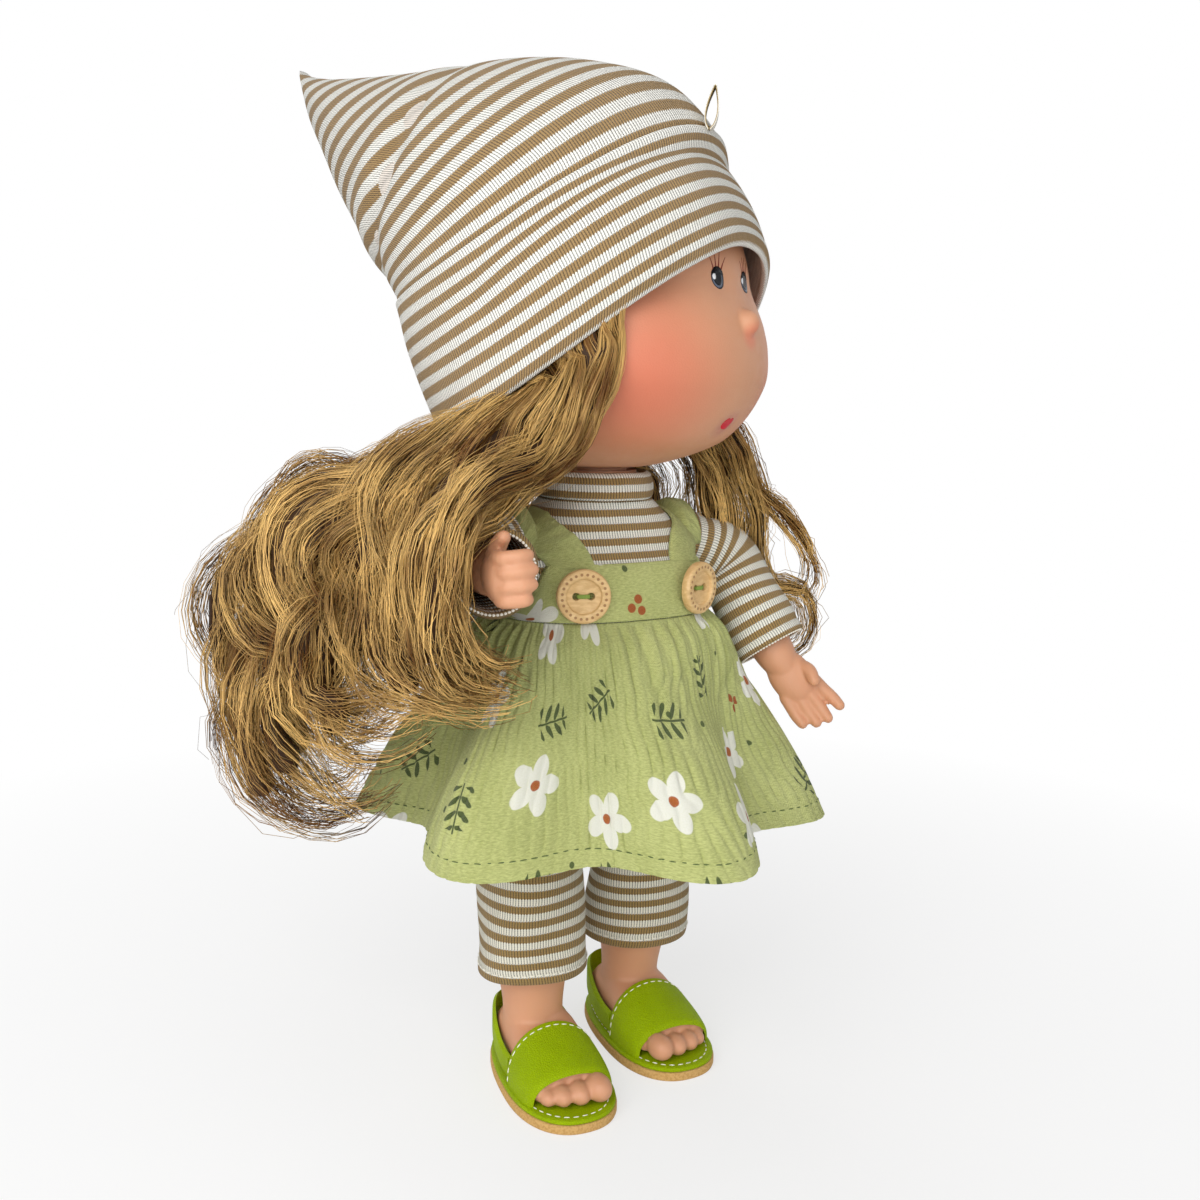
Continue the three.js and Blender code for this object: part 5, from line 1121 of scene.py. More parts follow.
def skirt_point(angle, share, grow):
    """Places on the skirt round from the front and down from the band."""
    share = np.full(len(angle), share)
    s, c = np.sin(angle), -np.cos(angle)
    w, d = torso_size(skirt_top) + cloth_in + 0.8
    sway = 0.35 * np.sin(2 * angle + 5 * share)
    fold = fold_deep * np.cos(fold_count * angle + sway) * soft(0, 1, 1.15 * share)
    crease = sum(np.cos(n * angle + p + q * share) * (0.55 + 0.45 * np.sin(r * share + k))
                 for n, p, q, r, k in crinkles)
    gather = sum(np.cos(n * angle + p) for n, p in gathers)
    fine = 1.15 * np.tanh(0.7 * np.abs(crease)) - 0.75
    fine = fine * (0.5 + 0.5 * soft(0, 0.25, share)) * (1 - 0.5 * soft(0.88, 0.97, share))
    fine = fine + 0.6 * gather * np.exp(-share / 0.2) * soft(0.0, 0.05, share)
    puff = 2.0 * soft(0.0, 0.1, share) * soft(0.4, 0.1, share)
    out = fold + grow + fine + puff
    x, y = (swelled(way, 0.8) * half * (1 - share) + way * (skirt_reach * share + out)
            for way, half in ((s, w), (c, d)))
    z = skirt_top - skirt_long * share + 1.2 * (0.5 - 0.5 * np.cos(fold_count * angle)) * share ** 2
    return np.stack((x, y, z), -1)


def follow_thigh(piece):
    """Bakes a piece's placement into its mesh and reads its points without using them."""
    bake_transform(piece)
    x, y, z = points_of(piece.data).T


hem_length = lengths(skirt_point(np.linspace(0, 2 * math.pi, 721), 0.98, 0.0))[-1]
outer_rows = np.concatenate((np.linspace(0, 0.3, 44)[:-1], np.linspace(0.3, 0.93, 60)[:-1],
                             np.linspace(0.93, 1.0, 14)))
rows = [(s, 0.8 + 0.28 * (s > hem_share)) for s in outer_rows]
rows += [(s, -0.5) for s in np.linspace(1.0, 0.0, 18)]
thread_dark = finish("thread_dark", {"Base Color": colour(84, 100, 48), "Roughness": 0.7})[0]
for name, side in (("right", -1), ("left", 1)):
    angle = side * np.linspace(0, math.pi, 341)
    columns = np.array([skirt_point(angle, s, grow) for s, grow in rows]).transpose(1, 0, 2)
    flat_u = np.append(angle, angle[-1]) * hem_length / (2 * math.pi)
    flat_v = -70 * np.array([s for s, _ in rows + rows[:1]])
    marks = np.dstack(np.broadcast_arrays(flat_u[:, None], flat_v[None]))
    skirt = wrapped(f"dress_skirt_{name}_cloth", columns, marks, thin=True)
    skirt.data.set_sharp_from_angle(angle=math.radians(62))
    skirt.data.materials.append(muslin_print)
    follow_thigh(skirt)
    hem = sewn(f"dress_hem_stitch_{name}", [skirt_point(angle[2:-2], hem_share, 0.95)], 0.0033, 0.0021,
               0.00024, thread_dark)
    follow_thigh(hem)
    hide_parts("dress_skirt")


# Buttons: two turned wooden discs with a raised rim and a sunk middle, each sewn to the band by green thread
# through two holes. A plain ring of burnt dots runs round each rim.
button_side, button_level, button_thick = 19.0, band_low + 8.2, 2.8
hole_apart, hole_radius, thread_radius = 4.3, 1.05, 0.27
# The disc's section, out from its middle and up from its back.
disc_line = ((0.2, 0), (4, 0), (7.2, 0.0), (7.65, 0.25), (7.88, 0.9), (7.9, 1.6), (7.8, 2.3), (7.5, 2.68),
             (7.2, 2.8), (5.5, 2.8), (5.25, 2.72), (5.1, 2.5), (4.95, 1.95), (4.6, 1.7), (2.5, 1.6),
             (0.2, 1.6))
hole_line = ((hole_radius, -1), (hole_radius, 1.2), (hole_radius + 0.12, 1.6), (hole_radius + 0.2, 3))

wood, tree, shader = finish("wood_button", {"Roughness": 0.5})
spot = wire(tree, "ShaderNodeTexCoord").outputs["Object"]
long = wire(tree, "ShaderNodeMapping", {"Vector": spot, "Rotation": (0.2, 0.5, 0.9),
                                        "Scale": (140, 900, 900)})
vein = grain(long.outputs[0], 1.0, 4.0, 0.6)
pale = tint(spread(vein, 0.34, 0.7), colour(204, 166, 110), colour(226, 192, 138))
pale = tint(spread(grain(spot, 160.0, 3.0), 0.4, 0.7, 0.0, 0.3), pale, colour(206, 164, 104))
u, v, both = flat_place(tree)
dots = spokes(vector("LENGTH", both), calc("ARCTAN2", v, u), 24, 6.4, (0.42, 0.42), 0.25)
tree.links.new(tint(times(dots, 0.8), pale, colour(138, 92, 46)), shader.inputs["Base Color"])
raised(shader, calc("SUBTRACT", times(vein, 0.3), dots), 0.0001)
thread_green = finish("thread_green", {"Base Color": colour(120, 142, 58), "Roughness": 0.75})[0]


def turned(foot, right, ahead, line, aside=0.0, count=72):
    """Rings of a turned piece that stands on a foot, from its section."""
    angle = circle(count)
    return np.array([foot + ahead * h + np.outer(aside + r * np.cos(angle), right)
                     + np.outer(r * np.sin(angle), rise) for r, h in line])


rise = np.array((0, 0, 1.0))
wide, deep = torso_size(button_level) + cloth_in + band_cloth
aside = button_side / wide
for name, side in (("right", -1), ("left", 1)):
    tilt = side * math.atan2(aside ** 1.5 / wide, (1 - aside ** 2.5) ** 0.6 / deep)
    ahead = np.array((math.sin(tilt), -math.cos(tilt), 0))
    right = np.array((math.cos(tilt), math.sin(tilt), 0))
    centre = np.array(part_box(f"button_{name}")).mean(0) * 1000 - (mid_x, mid_y, 0)
    foot = centre - ahead * button_thick / 2
    button = wrapped(f"button_{name}_wood", turned(foot, right, ahead, disc_line))
    for k in (-0.5, 0.5):
        drill = wrapped("drill", turned(foot, right, ahead, hole_line, k * hole_apart, 28))
        cut = button.modifiers.new("hole", "BOOLEAN")
        cut.operation, cut.solver, cut.object = "DIFFERENCE", "EXACT", drill
        mesh = plain(f"button_{name}_wood", button)
        button.modifiers.clear()
        button.data = mesh
        bpy.data.objects.remove(drill)
    button.data.set_sharp_from_angle(angle=math.radians(38))
    button.data.materials.clear()
    spots = points_of(button.data) - foot
    corners = np.array([corner.vertex_index for corner in button.data.loops])
    flat = np.column_stack((spots @ right, spots @ rise))[corners]
    button.data.uv_layers[0].data.foreach_set("uv", flat.astype(np.float32).ravel())
    fit(button, "torso", f"button_{name}", wood)
    parts = []
    for lift in (-0.36, 0.0, 0.36):
        arch = [foot + right * hole_apart * s + rise * lift * (0.6 + 0.4 * math.cos(2 * s))
                + ahead * (1.3 + 0.7 * math.cos(3.4 * s)) for s in np.linspace(-0.4, 0.4, 7)]
        ends = [foot + right * s * hole_apart - ahead * 0.1 for s in (-0.42, 0.42)]
        parts.append(rod(ends[:1] + arch + ends[1:], [thread_radius] * 9))
    strands = melt(f"button_thread_{name}_strands", parts, 0.00011, 1)
    fit(strands, "torso", f"button_thread_{name}", thread_green)


# Leggings: the jumper's striped jersey, its tan and cream painted darker as shade, a hip part round the torso
# and two loose legs hemmed below the knee, each leg turning with the doll's own.
leg_side, knee_stripe, hem_level, sole_top = 22.6, 4.5, 35.5, 4.6
legging_top, legging_hem, legging_wall = 15.9, 17.1, 1.25
foot_place = {"right": (-22.4, -15.0, -6.0), "left": (19.6, -5.0, -3.0)}
leg_step = {"right": -5.0, "left": 5.0}
leg_count = 132


def on_leg(name, share, away):
    """A place on a leg's middle line."""
    side = 1 if name == "left" else -1
    x = leg_side + (abs(foot_place[name][0]) - leg_side) * away
    return np.array((side * x, leg_step[name] * away, sole_top + (hip_level - sole_top) * share))


def leg_ring(centre, radius, rise=0.0):
    """Points round a leg from its back, lifted by a rise."""
    a = circle(leg_count)
    return centre + np.column_stack((-radius * np.sin(a), radius * np.cos(a), rise + 0 * a))


# Painted shade: the leggings' tan and cream are darker copies of the jumper's, for the shade low on the doll.
shaded_leg_knit = jersey("jersey_leggings_shaded", (150, 122, 72), (232, 228, 212), knee_stripe)
levels = np.concatenate((np.linspace(hip_level - 12, hip_level + 30, 40), [hip_level + 30.2]))
rings = np.array([torso_ring(z, 1.6) for z in levels] + [torso_ring(z, 0.5) for z in levels[::-1]])
marks = knit_marks(rings, np.concatenate((levels, levels[::-1])))
hips = wrapped("leggings_hip_knit", rings, np.concatenate((marks, marks[:1])), closed=True)
fit(hips, "torso", "leggings_hip", shaded_leg_knit)

at = np.linspace(0, 1, 78)
angle = circle(leg_count)
radius = np.interp(at, (0, 0.3, 0.6, 0.9, 1), (legging_top, 16.4, 16.6, 17.0, legging_hem))
hem = 0.3 * soft(0.955, 0.965, at) * soft(1.02, 0.985, at) - 0.3 * np.exp(-((at - 0.952) / 0.006) ** 2)
share = (hip_level - (hip_level - hem_level) * at - sole_top) / (hip_level - sole_top)
away = np.interp(-share, (-0.98, -0.75, -0.55, -0.4, -0.2), (0, 0.25, 0.5, 0.7, 0.95))
waver = 0.35 * np.sin(2 * angle + 1)
dome = np.radians(np.linspace(84, 4, 14))
for name in ("right", "left"):
    line = np.array([on_leg(name, s, a) for s, a in zip(share, away)])
    slack = np.zeros((len(at), leg_count))
    for k in range(8):
        turn, slant, phase = shape.integers(1, 5), shape.uniform(1.0, 6.0), shape.uniform(0, 6.28)
        slack += 0.2 * np.sin(turn * angle[None] + slant * at[:, None] * 2 + phase)
    slack *= soft(0.15, 0.4, at)[:, None]
    cap_line = np.array([line[0] + (0, 0, legging_top * math.sin(a)) for a in dome])
    cap = [leg_ring(spot, legging_top * math.cos(a)) for spot, a in zip(cap_line, dome)]
    body = [leg_ring(line[k], radius[k] + slack[k] + hem[k], waver * at[k]) for k in range(len(at))]
    lip = [leg_ring(line[-1], legging_hem + slack[-1] - d, waver - e)
           for d, e in ((0.15, 0.35), (0.6, 0.5), (1.05, 0.3))]
    back = range(len(at) - 2, len(at) // 2, -1)
    inside = [leg_ring(line[k], radius[k] + slack[k] - legging_wall) for k in back]
    rings = np.array(cap + body + lip + inside)
    along = np.concatenate((cap_line[:, 2], line[:, 2], [hem_level] * 3, line[back, 2])) - hem_level
    marks = knit_marks(rings, along)
    legging = wrapped(f"leggings_leg_{name}_knit", rings, np.concatenate((marks, marks[-1:])))
    fit(legging, f"leg_{name}", f"leggings_leg_{name}", shaded_leg_knit)
    k = int(0.952 * len(at))
    wobble = 0.18 * np.sin(41 * np.linspace(0, 2 * math.pi, leg_count + 1))
    ring = np.vstack((body[k], body[k][:1])) + np.outer(wobble, (0, 0, 1))
    ring = line[k] + (ring - line[k]) * (1.012, 1.012, 1)
    seam = sewn(f"leggings_hem_stitch_{name}", [ring], 0.0024, 0.0018, 0.00019, thread_white)
    fit(seam, f"leg_{name}")


# Legs: soft matt vinyl, each one moulding from the hip plug down to the foot, with five round toes.
# The torso's own vinyl is hidden by the clothes.
foot_half_long, foot_half_wide = 30.5, 12.6
foot_at = np.array((-0.82, -0.72, -0.5, -0.15, 0.15, 0.45, 0.65, 0.72))
foot_wide = np.array((0.45, 0.72, 0.84, 0.88, 0.95, 1.0, 0.97, 0.9))
foot_high = np.array((8.5, 13.9, 17.3, 17.0, 13.3, 9.5, 7.0, 5.95))
# Stops of share up the leg, share of its step away, and radius. Toes: radius, half length, ahead and across.
leg_stops = ((0.98, 0, 13.8), (0.75, 0.25, 13.39), (0.55, 0.5, 12.0), (0.4, 0.7, 12.2), (0.2, 0.95, 9.5),
             (0.1, 1, 9.8))
toes = ((3.95, 5.2, 22.2, 6.9), (3.25, 4.7, 21.6, 0.9), (3.0, 4.4, 20.6, -4.2), (2.6, 4.0, 18.8, -8.2),
        (2.1, 3.6, 15.4, -9.6))


def on_foot(points, name):
    """From the right sole's own frame, across and backwards, to either foot in its place."""
    p = np.asarray(points, float)
    x, y, turn = foot_place[name]
    turn = math.radians(turn)
    across = p[..., 0] * (1 if name == "right" else -1)
    return np.stack((x + across * math.cos(turn) - p[..., 1] * math.sin(turn),
                     y + across * math.sin(turn) + p[..., 1] * math.cos(turn), p[..., 2]), -1)


angle = circle(40)
at = np.linspace(0, 5, 40)
for name in ("right", "left"):
    line = through([on_leg(name, s, a) for s, a, _ in leg_stops], at)
    size = through([r for _, _, r in leg_stops], at)
    shin = [c + np.column_stack((r * np.cos(angle), r * np.sin(angle), 0 * angle))
            for c, r in zip(line, size)]
    parts = [wrapped("shin", shin)]
    foot = []
    for f in np.linspace(-0.86, 0.6, 26):
        end = math.sqrt(max(0.06, 1 - max(0, (abs(f + 0.06) - 0.66) / 0.15) ** 2)) if f < -0.6 else 1.0
        w = np.interp(f, foot_at, foot_wide) * foot_half_wide * end
        h = np.interp(f, foot_at, foot_high) * end
        foot.append(np.column_stack((w * swelled(np.cos(angle), 0.8), np.full(40, -f * foot_half_long),
                                     sole_top + 0.5 * h * (1 + swelled(np.sin(angle), 0.8)))))
    parts.append(wrapped("foot", on_foot(foot, name)))
    for r, long, ahead, across in toes:
        toe = [np.column_stack((across + r * math.cos(t) * np.cos(angle),
                                np.full(40, -ahead - long * math.sin(t)),
                                sole_top + r * (1 + math.cos(t) * np.sin(angle))))
               for t in np.radians(np.linspace(-84, 84, 20))]
        parts.append(wrapped("toe", on_foot(toe, name)))
    fit(melt(f"leg_{name}_skin", parts, 0.0007, 2), f"leg_{name}", f"leg_{name}", vinyl)
torso_paints = frame["nodes"]["torso"].data.materials
torso_paints.clear()
torso_paints.append(vinyl)


# Sandals: a tan foam sole, a green leatherette insole stitched round its edge, a wide front strap and a heel
# strap, both cut from the same leatherette and caught between insole and sole.
heel_wide, ball_wide, sole_square, strap_thick = 13.6, 17.4, 0.84, 1.1
# Each plate's edge in steps of inset and level.
sole_steps = ((8, 0), (0.5, 0), (0.15, 0.2), (0, 0.6), (0, 2.3), (0.15, 2.7), (0.5, 2.85), (8, 2.85))
insole_steps = ((8, 2.95), (0.7, 2.95), (0.4, 3.1), (0.3, 3.5), (0.4, 4.05), (0.8, 4.3), (2.1, 4.34),
                (8, 4.3))

leather, tree, shader = finish("leatherette", {"Roughness": 0.5, "Specular IOR Level": 0.1})
spot = wire(tree, "ShaderNodeTexCoord").outputs["Object"]
pebble = wire(tree, "ShaderNodeTexVoronoi", {"Vector": spot, "Scale": 1500.0}, feature="DISTANCE_TO_EDGE")
pebble = pebble.outputs["Distance"]
shades = tint(grain(spot, 90.0, 3.0), colour(144, 168, 0), colour(166, 194, 2))
# Painted shade: the colour darkens in the crevices between the pebbles of the grain.
shades = tint(spread(pebble, 0.0, 0.12, 0.35, 0.0), shades, colour(96, 114, 0))
tree.links.new(shades, shader.inputs["Base Color"])
raised(shader, spread(pebble, 0.0, 0.25), 0.00012)
foam, tree, shader = finish("foam_sole", {"Roughness": 0.9})
speck = grain(wire(tree, "ShaderNodeTexCoord").outputs["Object"], 1500.0)
shades = tint(spread(speck, 0.35, 0.6), colour(186, 144, 82), colour(204, 164, 102))
tree.links.new(shades, shader.inputs["Base Color"])
raised(shader, speck, 0.0001)


def sole_wide(ahead):
    """The sole's half width before its ends are rounded, at a place ahead of its middle."""
    return heel_wide + (ball_wide - heel_wide) * soft(0, 1, 0.5 + 0.5 * ahead / foot_half_long)


def plate(inset, level, count=160):
    """The sole's outline, across and backwards, set in by a margin, at a level."""
    a = circle(count)
    ahead = swelled(np.cos(a), sole_square) * (foot_half_long - inset)
    across = swelled(np.sin(a), sole_square) * (sole_wide(ahead) - inset)
    return np.column_stack((across, -ahead, np.full(count, level)))


def strap_section(count, square):
    """Steps round a strap's section, of share across and height: out over its rounded face and back."""
    across = np.linspace(0, 1, count)
    return ([(g, strap_thick * math.sqrt(max(0, 1 - abs(2 * g - 1) ** square))) for g in across]
            + [(g, 0.0) for g in across[::-1]])


def front_strap(a, g, lift):
    """A point of the front strap, at an angle over the foot, a share of its width and a height off it."""
    ahead = 1.6 + 17.0 * g + 0.9 * math.sin(a) * (2 * g - 1)
    end = math.sqrt(max(0, 1 - (abs(ahead) / foot_half_long) ** (2 / sole_square))) ** sole_square
    wide = end * sole_wide(ahead) - 2.2
    high = np.interp(ahead / foot_half_long, foot_at, foot_high) + 1.05
    return math.cos(a) * (wide + lift), -ahead, 4.35 + math.sin(a) ** 0.75 * (high + lift)


def heel_strap(a, g, lift):
    """A point of the heel strap, at an angle round the heel, a share of its width and a height off it."""
    s, c = math.sin(a), math.cos(a)
    climb = soft(0, 1, -1.1 * c)
    return (swelled(s, 0.85) * (12.54 + lift), abs(c) ** 0.85 * (29.1 + lift) - 0.7,
            4.4 + 6.5 * climb + (9 - 1.5 * (1 - climb)) * g)


front_angles, heel_angles = np.linspace(0, math.pi, 64), np.linspace(0.5, 1.5, 80) * math.pi
shapes = {
    "sole": ([plate(*step) for step in sole_steps], "foam", "sole", foam),
    "insole": ([plate(*step) for step in insole_steps], "leather", "leatherette", leather),
    "front_strap": ([[front_strap(a, *step) for step in strap_section(30, 14)] for a in front_angles],
                    "leather", "leatherette", leather),
    "heel_strap": ([[heel_strap(a, *step) for step in strap_section(10, 10)] for a in heel_angles],
                   "leather", "leatherette", leather)}
rim_line = plate(2.4, 4.36)
seam_lines = (np.vstack((rim_line, rim_line[:1])),
              [front_strap(a, 0.12, strap_thick + 0.05) for a in np.linspace(0.06, math.pi - 0.06, 70)])
for name in ("right", "left"):
    for node, (rings, stuff, slot, paint) in shapes.items():
        piece = wrapped(f"sandal_{node}_{name}_{stuff}", on_foot(rings, name))
        piece.data.set_sharp_from_angle(angle=math.radians(50))
        fit(piece, f"leg_{name}", f"sandal_{node}_{name}", paint)
    seam = sewn(f"sandal_stitch_{name}", [on_foot(line, name) for line in seam_lines], 0.0027, 0.0018,
                0.0002, thread_white)
    fit(seam, f"leg_{name}")


# Hair: long fair fibre rooted in the head under the hat, waved and curled at its ends. It falls in a big
# loose mass over the right shoulder, a thin fall down the back and a few locks on the left.
hair_points, wisp_count = 33, 7


def facing(across, ahead, up):
    """A place measured across and towards the camera's side of the doll, at its front right."""
    c, s = math.cos(camera_side), math.sin(camera_side)
    return across * c - ahead * s, -across * s - ahead * c, up


def on_brim(turn, above, lift):
    """A place on the head under the hat's brim, turned from the face, so far above the brim's edge."""
    a = math.radians(turn)
    up = -13 + 28 * math.cos(a) - 15 * math.sin(a) ** 2 + above
    wide, deep = head_half[:2] * head_share(up) + lift
    return from_head((math.sin(a) * wide, -math.cos(a) * deep, up))


# Each long lock: its root's turn from the face, its half thickness, and places across, ahead and up.
long_locks = {
    "s_outer": (-110, 8.5, (-35, 36, 201), (-49, 42, 194), (-57, 46, 184), (-60, 50, 169), (-60, 54, 153),
                (-56, 58, 141), (-46, 60, 133), (-33, 60, 129), (-22, 58, 131)),
    "s_middle": (-98, 8.0, (-24, 40, 207), (-39, 46, 196), (-49, 52, 184), (-51, 56, 169), (-51, 60, 152),
                 (-46, 62, 140), (-36, 62, 133), (-24, 60, 133)),
    "s_inner": (-86, 7.5, (-14, 43, 212), (-28, 52, 198), (-39, 60, 185), (-42, 66, 170), (-41, 68, 153),
                (-36, 66, 140), (-27, 64, 135), (-18, 62, 140)),
    "over_hand": (-72, 6.5, (-5, 46, 214), (-14, 58, 197), (-27, 72, 188), (-36, 82, 178), (-40, 86, 164),
                  (-39, 80, 150), (-32, 70, 138), (-20, 64, 133)),
    "by_face": (-60, 4.8, (0, 51, 222), (-5, 54, 205), (-14, 56, 194), (-28, 66, 188), (-35, 82, 180),
                (-37, 88, 168), (-36, 82, 153), (-28, 70, 141), (-16, 63, 137)),
    "temple_a": (-55, 3.6, (4, 51, 224), (0, 54, 212), (-6, 56, 200), (-15, 57, 191), (-28, 60, 184),
                 (-34, 64, 171), (-39, 66, 157)),
    "temple_b": (-66, 5.0, (-4, 51, 221), (-8, 54, 208), (-14, 56, 197), (-25, 60, 187), (-37, 66, 174),
                 (-43, 68, 158), (-40, 68, 145)),
    "temple_c": (-78, 5.5, (-12, 49, 215), (-18, 52, 205), (-27, 55, 195), (-38, 58, 184), (-47, 60, 170),
                 (-48, 63, 156), (-44, 65, 144)),
    "temple_d": (-91, 6.0, (-20, 45, 210), (-28, 48, 201), (-38, 50, 191), (-48, 52, 178), (-53, 55, 164),
                 (-52, 58, 149), (-46, 61, 138)),
    "big_curl": (-120, 8.5, (-42, 34, 195), (-53, 36, 188), (-63, 38, 183), (-76, 38, 180), (-85, 38, 172),
                 (-86, 40, 160), (-80, 43, 151), (-70, 46, 148), (-60, 48, 151)),
    "inner_curl": (-115, 6.5, (-45, 37, 192), (-58, 42, 181), (-70, 45, 176), (-78, 46, 168),
                   (-78, 48, 160), (-71, 50, 154), (-62, 51, 155)),
    "top_tuft": (-126, 6.5, (-48, 26, 193), (-64, 23, 186), (-79, 22, 185), (-88, 22, 181), (-93, 24, 172),
                 (-92, 28, 163), (-86, 33, 155)),
    "left_edge": (-134, 7.5, (-56, 18, 190), (-79, 14, 180), (-95, 14, 170), (-107, 16, 159),
                  (-111, 18, 146), (-109, 20, 131), (-104, 22, 121), (-106, 24, 109), (-101, 26, 99)),
    "left_front": (-124, 7.5, (-60, 26, 185), (-82, 25, 173), (-96, 27, 163), (-99, 30, 154),
                   (-93, 35, 145), (-86, 37, 138), (-94, 36, 130), (-92, 36, 117), (-84, 38, 108)),
    "low_left": (-130, 8.0, (-62, 22, 184), (-86, 22, 164), (-97, 25, 146), (-103, 28, 130),
                 (-101, 30, 113), (-97, 32, 98), (-86, 34, 89), (-72, 36, 89), (-61, 40, 97)),
    "middle": (-106, 8.0, (-46, 38, 190), (-60, 42, 174), (-72, 45, 156), (-80, 48, 141), (-78, 51, 130),
               (-68, 54, 126), (-56, 56, 128), (-45, 58, 130), (-40, 58, 125)),
    "low_middle": (-117, 8.0, (-56, 32, 184), (-74, 36, 163), (-86, 38, 144), (-91, 40, 128),
                   (-88, 43, 112), (-80, 46, 102), (-67, 48, 99), (-56, 52, 107)),
    "low_right": (-102, 7.0, (-48, 38, 186), (-62, 42, 165), (-72, 46, 144), (-75, 49, 128),
                  (-67, 53, 118), (-55, 56, 118), (-43, 60, 124)),
    "low_fill": (-128, 8.0, (-60, 20, 180), (-80, 24, 158), (-87, 28, 137), (-88, 31, 118), (-80, 34, 103),
                 (-69, 38, 102), (-60, 42, 111)),
    "outer_back": (-140, 9.0, (-46, 8, 192), (-66, 0, 178), (-84, -2, 160), (-96, 2, 140), (-98, 8, 120),
                   (-92, 14, 104), (-80, 18, 96)),
    "middle_back": (-136, 9.0, (-38, 12, 190), (-56, 4, 172), (-70, 2, 150), (-80, 6, 128), (-78, 12, 110),
                    (-66, 18, 102)),
    "inner_back": (-148, 9.0, (-34, -6, 186), (-48, -14, 164), (-60, -14, 142), (-70, -8, 120),
                   (-74, 2, 104)),
    "mass_fill": (-122, 10.0, (-46, 28, 186), (-62, 30, 166), (-76, 30, 146), (-84, 28, 126),
                  (-80, 28, 110)),
    "mass_low": (-112, 10.0, (-44, 36, 184), (-58, 38, 164), (-68, 40, 144), (-72, 40, 126),
                 (-66, 42, 113)),
    "back_a": (-164, 8.0, (-20, -26, 186), (-30, -36, 162), (-38, -40, 140), (-42, -46, 122),
               (-38, -50, 108)),
    "back_b": (-176, 8.5, (-8, -36, 186), (-14, -44, 162), (-20, -50, 140), (-24, -56, 122),
               (-16, -58, 110)),
    "back_c": (170, 8.5, (6, -40, 186), (2, -48, 162), (-2, -54, 140), (-4, -60, 124), (6, -62, 112)),
    "back_d": (155, 8.0, (18, -40, 186), (18, -48, 162), (16, -52, 142), (16, -56, 126), (24, -58, 114)),
    "left_a": (96, 5.0, (30, -8, 203), (36, -14, 193), (40, -18, 178), (44, -23, 163), (50, -24, 153),
               (52, -24, 143), (46, -24, 138)),
    "left_b": (106, 5.0, (35, -15, 200), (41, -20, 190), (43, -26, 176), (48, -30, 160), (53, -30, 152),
               (50, -28, 144)),
    "curl_heart": (-104, 4.5, (-44, 40, 190), (-52, 46, 178), (-62, 49, 173), (-69, 50, 166),
                   (-66, 51, 158), (-58, 52, 157)),
    "left_curl": (92, 4.2, (41, -8, 201), (48, -15, 187), (53, -22, 174), (54, -30, 159), (60, -36, 148),
                  (69, -38, 147), (74, -38, 139), (73, -38, 129), (66, -38, 124), (61, -38, 129)),
    "left_loop": (88, 2.4, (43, -10, 198), (51, -18, 182), (61, -22, 174), (69, -25, 164), (72, -28, 152),
                  (69, -30, 145)),
    "left_c": (116, 5.5, (30, -20, 196), (36, -28, 180), (40, -32, 162), (44, -34, 146), (40, -36, 134)),
}



def wisps(name, seed):
    """The wisps that make up one long lock, twisted a little about each other: line, radius and tone of each.
    With them come the lock's own middle line and radius."""
    root, thick, *stops = long_locks[name]
    stops = np.array([on_brim(root, 6, 1.2), on_brim(root, -2, 2.4)] + [facing(*s) for s in stops])
    line = through(stops, np.linspace(0, len(stops) - 1, 400))
    run = lengths(line)
    even = np.linspace(0, run[-1], hair_points)
    middle = np.column_stack([np.interp(even, run, line[:, k]) for k in range(3)])
    t = np.linspace(0, 1, hair_points)
    way = unit(np.gradient(middle, axis=0))
    side = unit(np.cross(way, (0.05, 1, 0.1)))
    front = np.cross(side, way)
    room = thick * (0.36 + 0.64 * soft(0.02, 0.3, t)) * (1 - 0.5 * soft(0.78, 1.0, t))
    grow = thick * soft(0.12, 0.5, t)[:, None] * (0.4 if "curl" in name else 1.0)
    chance = np.random.default_rng(seed)

    def ripple(low, high, slow, fast):
        tall = chance.uniform(low, high, 2)
        turns = chance.uniform(slow, fast) * t[:, None] + chance.uniform(0, 1, 2)
        return tall * np.sin(2 * math.pi * turns)

    made = []
    for k in range(wisp_count):
        out = 0.8 * (k > 0) * chance.uniform(0.8, 1.25) * room
        spin = k * 2 * math.pi / (wisp_count - 1) + chance.uniform(-0.3, 0.3) + chance.uniform(0.8, 3.0) * t
        wave = grow * (ripple(0.2, 0.42, 2.4, 4.2) + ripple(0.02, 0.06, 5.0, 8.0))
        aside, ahead = out * np.cos(spin) + wave[:, 0], out * np.sin(spin) + wave[:, 1]
        path = middle + aside[:, None] * side + ahead[:, None] * front
        start = on_brim(root + chance.uniform(-7, 7), 6, chance.uniform(0.5, 1.6)) - path[0]
        path = path + start * soft(0.16, 0.0, t)[:, None]
        curl = chance.uniform(1.0, 5.0) * soft(0.8, 1.0, t)
        path = path + (curl * np.cos(7 * t + k))[:, None] * side
        path = path + (curl * np.sin(7 * t + k))[:, None] * front
        made.append((path, np.maximum(0.9, 0.4 * room * chance.uniform(0.8, 1.25)), chance.uniform(0, 1)))
    return made, (middle, np.maximum(0.8, 0.8 * room))


